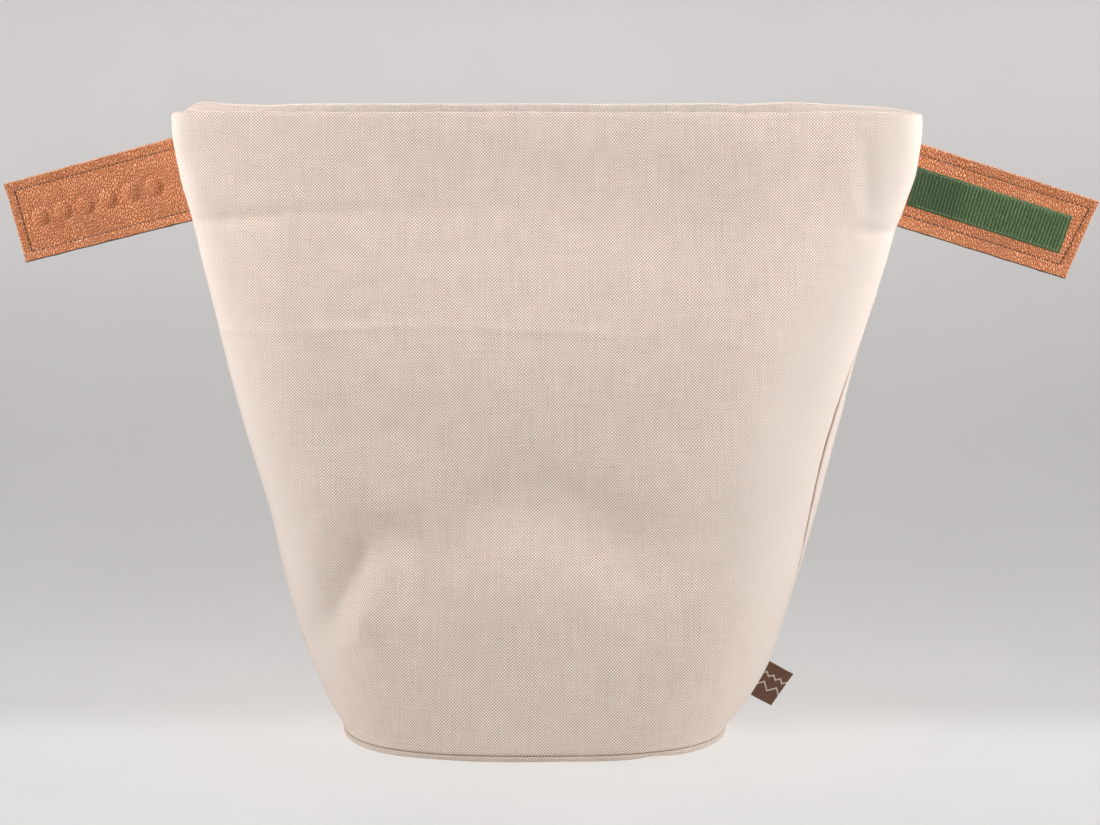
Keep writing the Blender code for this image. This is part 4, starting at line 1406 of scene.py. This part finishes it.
class BREADBAG_OT_straps(Operator):
    """Make the two doubled leather straps with their stitches"""
    bl_idname = "breadbag.straps"
    bl_label = "Leather Straps"

    def execute(self, context):
        leather = context.scene.bread_bag.leather
        hide = leather_material(leather)
        # Lit and shaded copies of the cut edge: painted light above, painted shade below
        pale = leather_edge_material("leather_pale_edge", leather.lit_upper_edge)
        dark = leather_edge_material("leather_dark_edge", leather.shaded_lower_edge)
        thread = thread_material("strap_thread", leather.thread_colour)
        layer = leather.layer / MM
        for side, strip, line, bosses in (("left", LEFT_STRAP, LEFT_STITCHES, BOSSES),
                                          ("right", RIGHT_STRAP, RIGHT_STITCHES, ())):
            build_doubled_strip("leather_strap_" + side, "strap_" + side, strip,
                                layer, LAYER_GAP, STRIP_STEP, leather_relief(line, bosses),
                                [hide, dark, pale])
            build_stitches("strap_stitches_" + side, strip, line, (-1, 1),
                           layer + LAYER_GAP / 2 - STITCH_INSET, leather.stitch / MM,
                           leather.thread / MM, thread)
        return {"FINISHED"}


class BREADBAG_OT_hook_tape(Operator):
    """Make the hook tape on the right strap, with its hooks and edge stitches"""
    bl_idname = "breadbag.hook_tape"
    bl_label = "Hook Tape"

    def execute(self, context):
        tape = context.scene.bread_bag.tape
        build_tape(tape, tape_material(tape))
        build_hooks(tape, hook_material(tape))
        build_stitches("tape_stitches", HOOK_TAPE, TAPE_STITCHES, (-1,),
                       TAPE_THREAD_OUT, TAPE_STITCH, TAPE_THREAD,
                       thread_material("tape_thread", tape.hook_colour))
        return {"FINISHED"}


class BREADBAG_OT_label(Operator):
    """Make the small woven label in the right side seam"""
    bl_idname = "breadbag.label"
    bl_label = "Woven Label"

    def execute(self, context):
        weave = label_material(context.scene.bread_bag.label)
        build_doubled_strip("label", "woven_label", WOVEN_LABEL, LABEL_LAYER,
                            LABEL_GAP, LABEL_STEP, lambda out, up, turn: 0.0, [weave])
        return {"FINISHED"}


class BREADBAG_OT_stage(Operator):
    """Make the pale floor and backdrop, the soft lights and the camera"""
    bl_idname = "breadbag.stage"
    bl_label = "Stage, Lights and Camera"

    def execute(self, context):
        stage = context.scene.bread_bag.stage
        build_stage(stage)
        build_lights(stage)
        build_camera(stage)
        return {"FINISHED"}


# ---------------------------------------------------------------- stage

# The paper sweep, in metres
FLOOR_FRONT, FLOOR_BACK = -0.60, 0.16
SWEEP_RADIUS = 0.45
SWEEP_STEPS = 40
BACKDROP_TOP = 1.4
STAGE_HALF_WIDTH = 1.2
SENSOR_WIDTH = 36.0         # of the camera, in millimetres
CLIP_END = 50.0             # how far it sees, in metres


def build_stage(stage):
    """Make a floor that turns up into a backdrop in one sweep."""
    course = [(FLOOR_FRONT, 0.0)]
    course += [(FLOOR_BACK + SWEEP_RADIUS * math.sin(a), SWEEP_RADIUS * (1 - math.cos(a)))
               for a in quarter_turn(SWEEP_STEPS)]
    course += [(FLOOR_BACK + SWEEP_RADIUS, BACKDROP_TOP)]
    mesh = bpy.data.meshes.new("stage_sweep")
    points = [(side * STAGE_HALF_WIDTH, y, z) for y, z in course for side in (-1, 1)]
    faces = [(2 * i, 2 * i + 1, 2 * i + 3, 2 * i + 2) for i in range(len(course) - 1)]
    mesh.from_pydata(points, [], faces)
    mesh.shade_smooth()
    mesh.materials.append(stage_material(stage))
    sweep = bpy.data.objects.new("stage_sweep", mesh)
    bpy.context.scene.collection.objects.link(sweep)


def add_area_light(light, power, lit):
    """Add a soft light that points at a place and lights the things of one collection."""
    data = bpy.data.lights.new(light.name, "AREA")
    data.shape = "RECTANGLE"
    data.size, data.size_y = light.width, light.height
    data.energy = power
    data.spread = math.radians(light.spread)
    lamp = bpy.data.objects.new(light.name, data)
    lamp.location = light.place
    lamp.rotation_euler = (Vector(light.aim) - Vector(light.place)).to_track_quat(
        "-Z", "Y").to_euler()
    lamp.light_linking.receiver_collection = lit
    bpy.context.scene.collection.objects.link(lamp)
    return lamp


# The soft lights: which setting holds their power, where they stand and aim and how large they
# are in metres, how far they spread in degrees, and whether they light the bag or the paper
SoftLight = namedtuple("SoftLight", "name power place aim width height spread lights")
LIGHTS = (
    SoftLight("left_softbox", "left_power", (-1.5, -0.7, 0.9), (0.0, 0.0, 0.6),
              0.8, 0.8, 75.0, "bag"),
    SoftLight("left_edge_light", "edge_power", (-1.4, -0.15, 0.8), (0.0, 0.0, 0.575),
              0.5, 0.5, 50.0, "bag"),
    SoftLight("right_softbox", "right_power", (1.5, -0.7, 0.9), (0.0, 0.0, 0.6),
              0.8, 0.8, 75.0, "bag"),
    SoftLight("right_edge_light", "edge_power", (1.4, -0.15, 0.8), (0.0, 0.0, 0.575),
              0.5, 0.5, 50.0, "bag"),
    SoftLight("front_softbox", "front_power", (0.0, -1.5, 1.5), (0.0, 0.0, 0.6),
              1.0, 0.6, 75.0, "bag"),
    SoftLight("top_softbox", "top_power", (0.0, 0.0, 2.4), (0.0, 0.3, 0.0),
              3.0, 2.4, 180.0, "paper"),
)


def build_lights(stage):
    """Light the bag softly from both sides and in front, and only the paper from above."""
    lit = {name: bpy.data.collections.new("lit_" + name) for name in ("bag", "paper")}
    for thing in bpy.context.scene.objects:
        if thing.type == "MESH":
            lit["paper" if thing.name == "stage_sweep" else "bag"].objects.link(thing)
    for light in LIGHTS:
        lamp = add_area_light(light, getattr(stage, light.power), lit[light.lights])
        if light.lights == "paper":
            lamp.light_linking.blocker_collection = lit["paper"]
    world = bpy.data.worlds.new("soft_studio")
    world.use_nodes = True
    set_values(world.node_tree.nodes["Background"], Color=(1.0, 1.0, 1.0, 1.0),
               Strength=stage.air_strength)
    bpy.context.scene.world = world
    bpy.context.scene.view_settings.view_transform = "Standard"


def build_camera(stage):
    """Set the camera in front of the bag, a little above it and looking slightly down."""
    camera = bpy.data.cameras.new("camera")
    camera.lens = stage.focal_length
    camera.sensor_width = SENSOR_WIDTH
    camera.clip_end = CLIP_END
    eye = bpy.data.objects.new("camera", camera)
    reach, pitch = stage.camera_distance, stage.camera_pitch
    eye.location = (0.0, -reach * math.cos(pitch), stage.aim_height + reach * math.sin(pitch))
    eye.rotation_euler = (math.pi / 2 - pitch, 0.0, 0.0)
    bpy.context.scene.collection.objects.link(eye)
    bpy.context.scene.camera = eye


class BREADBAG_PT_pieces(Panel):
    """Buttons that make each part of the bag"""
    bl_idname = "BREADBAG_PT_pieces"
    bl_label = "Bread Bag"
    bl_space_type = "VIEW_3D"
    bl_region_type = "UI"
    bl_category = "Bread Bag"

    def draw(self, context):
        for operator in OPERATORS:
            self.layout.operator(operator.bl_idname)
        for group in ("linen", "leather", "tape", "label", "stage"):
            settings = getattr(context.scene.bread_bag, group)
            box = self.layout.box()
            box.label(text=group.capitalize())
            for name in settings.__annotations__:
                box.prop(settings, name)


OPERATORS = (BREADBAG_OT_wall, BREADBAG_OT_straps, BREADBAG_OT_hook_tape, BREADBAG_OT_label,
             BREADBAG_OT_stage)
CLASSES = (LinenSettings, LeatherSettings, TapeSettings, LabelSettings, StageSettings,
           BagSettings, *OPERATORS, BREADBAG_PT_pieces)


def register():
    """Register the settings, the operators and the panel."""
    for one_class in CLASSES:
        bpy.utils.register_class(one_class)
    bpy.types.Scene.bread_bag = PointerProperty(type=BagSettings)


def unregister():
    """Take the settings, the operators and the panel away again."""
    del bpy.types.Scene.bread_bag
    for one_class in reversed(CLASSES):
        bpy.utils.unregister_class(one_class)


def main():
    """Make every piece in order."""
    register()
    bpy.ops.breadbag.wall()
    bpy.ops.breadbag.straps()
    bpy.ops.breadbag.hook_tape()
    bpy.ops.breadbag.label()
    bpy.ops.breadbag.stage()


if __name__ == "__main__":
    main()
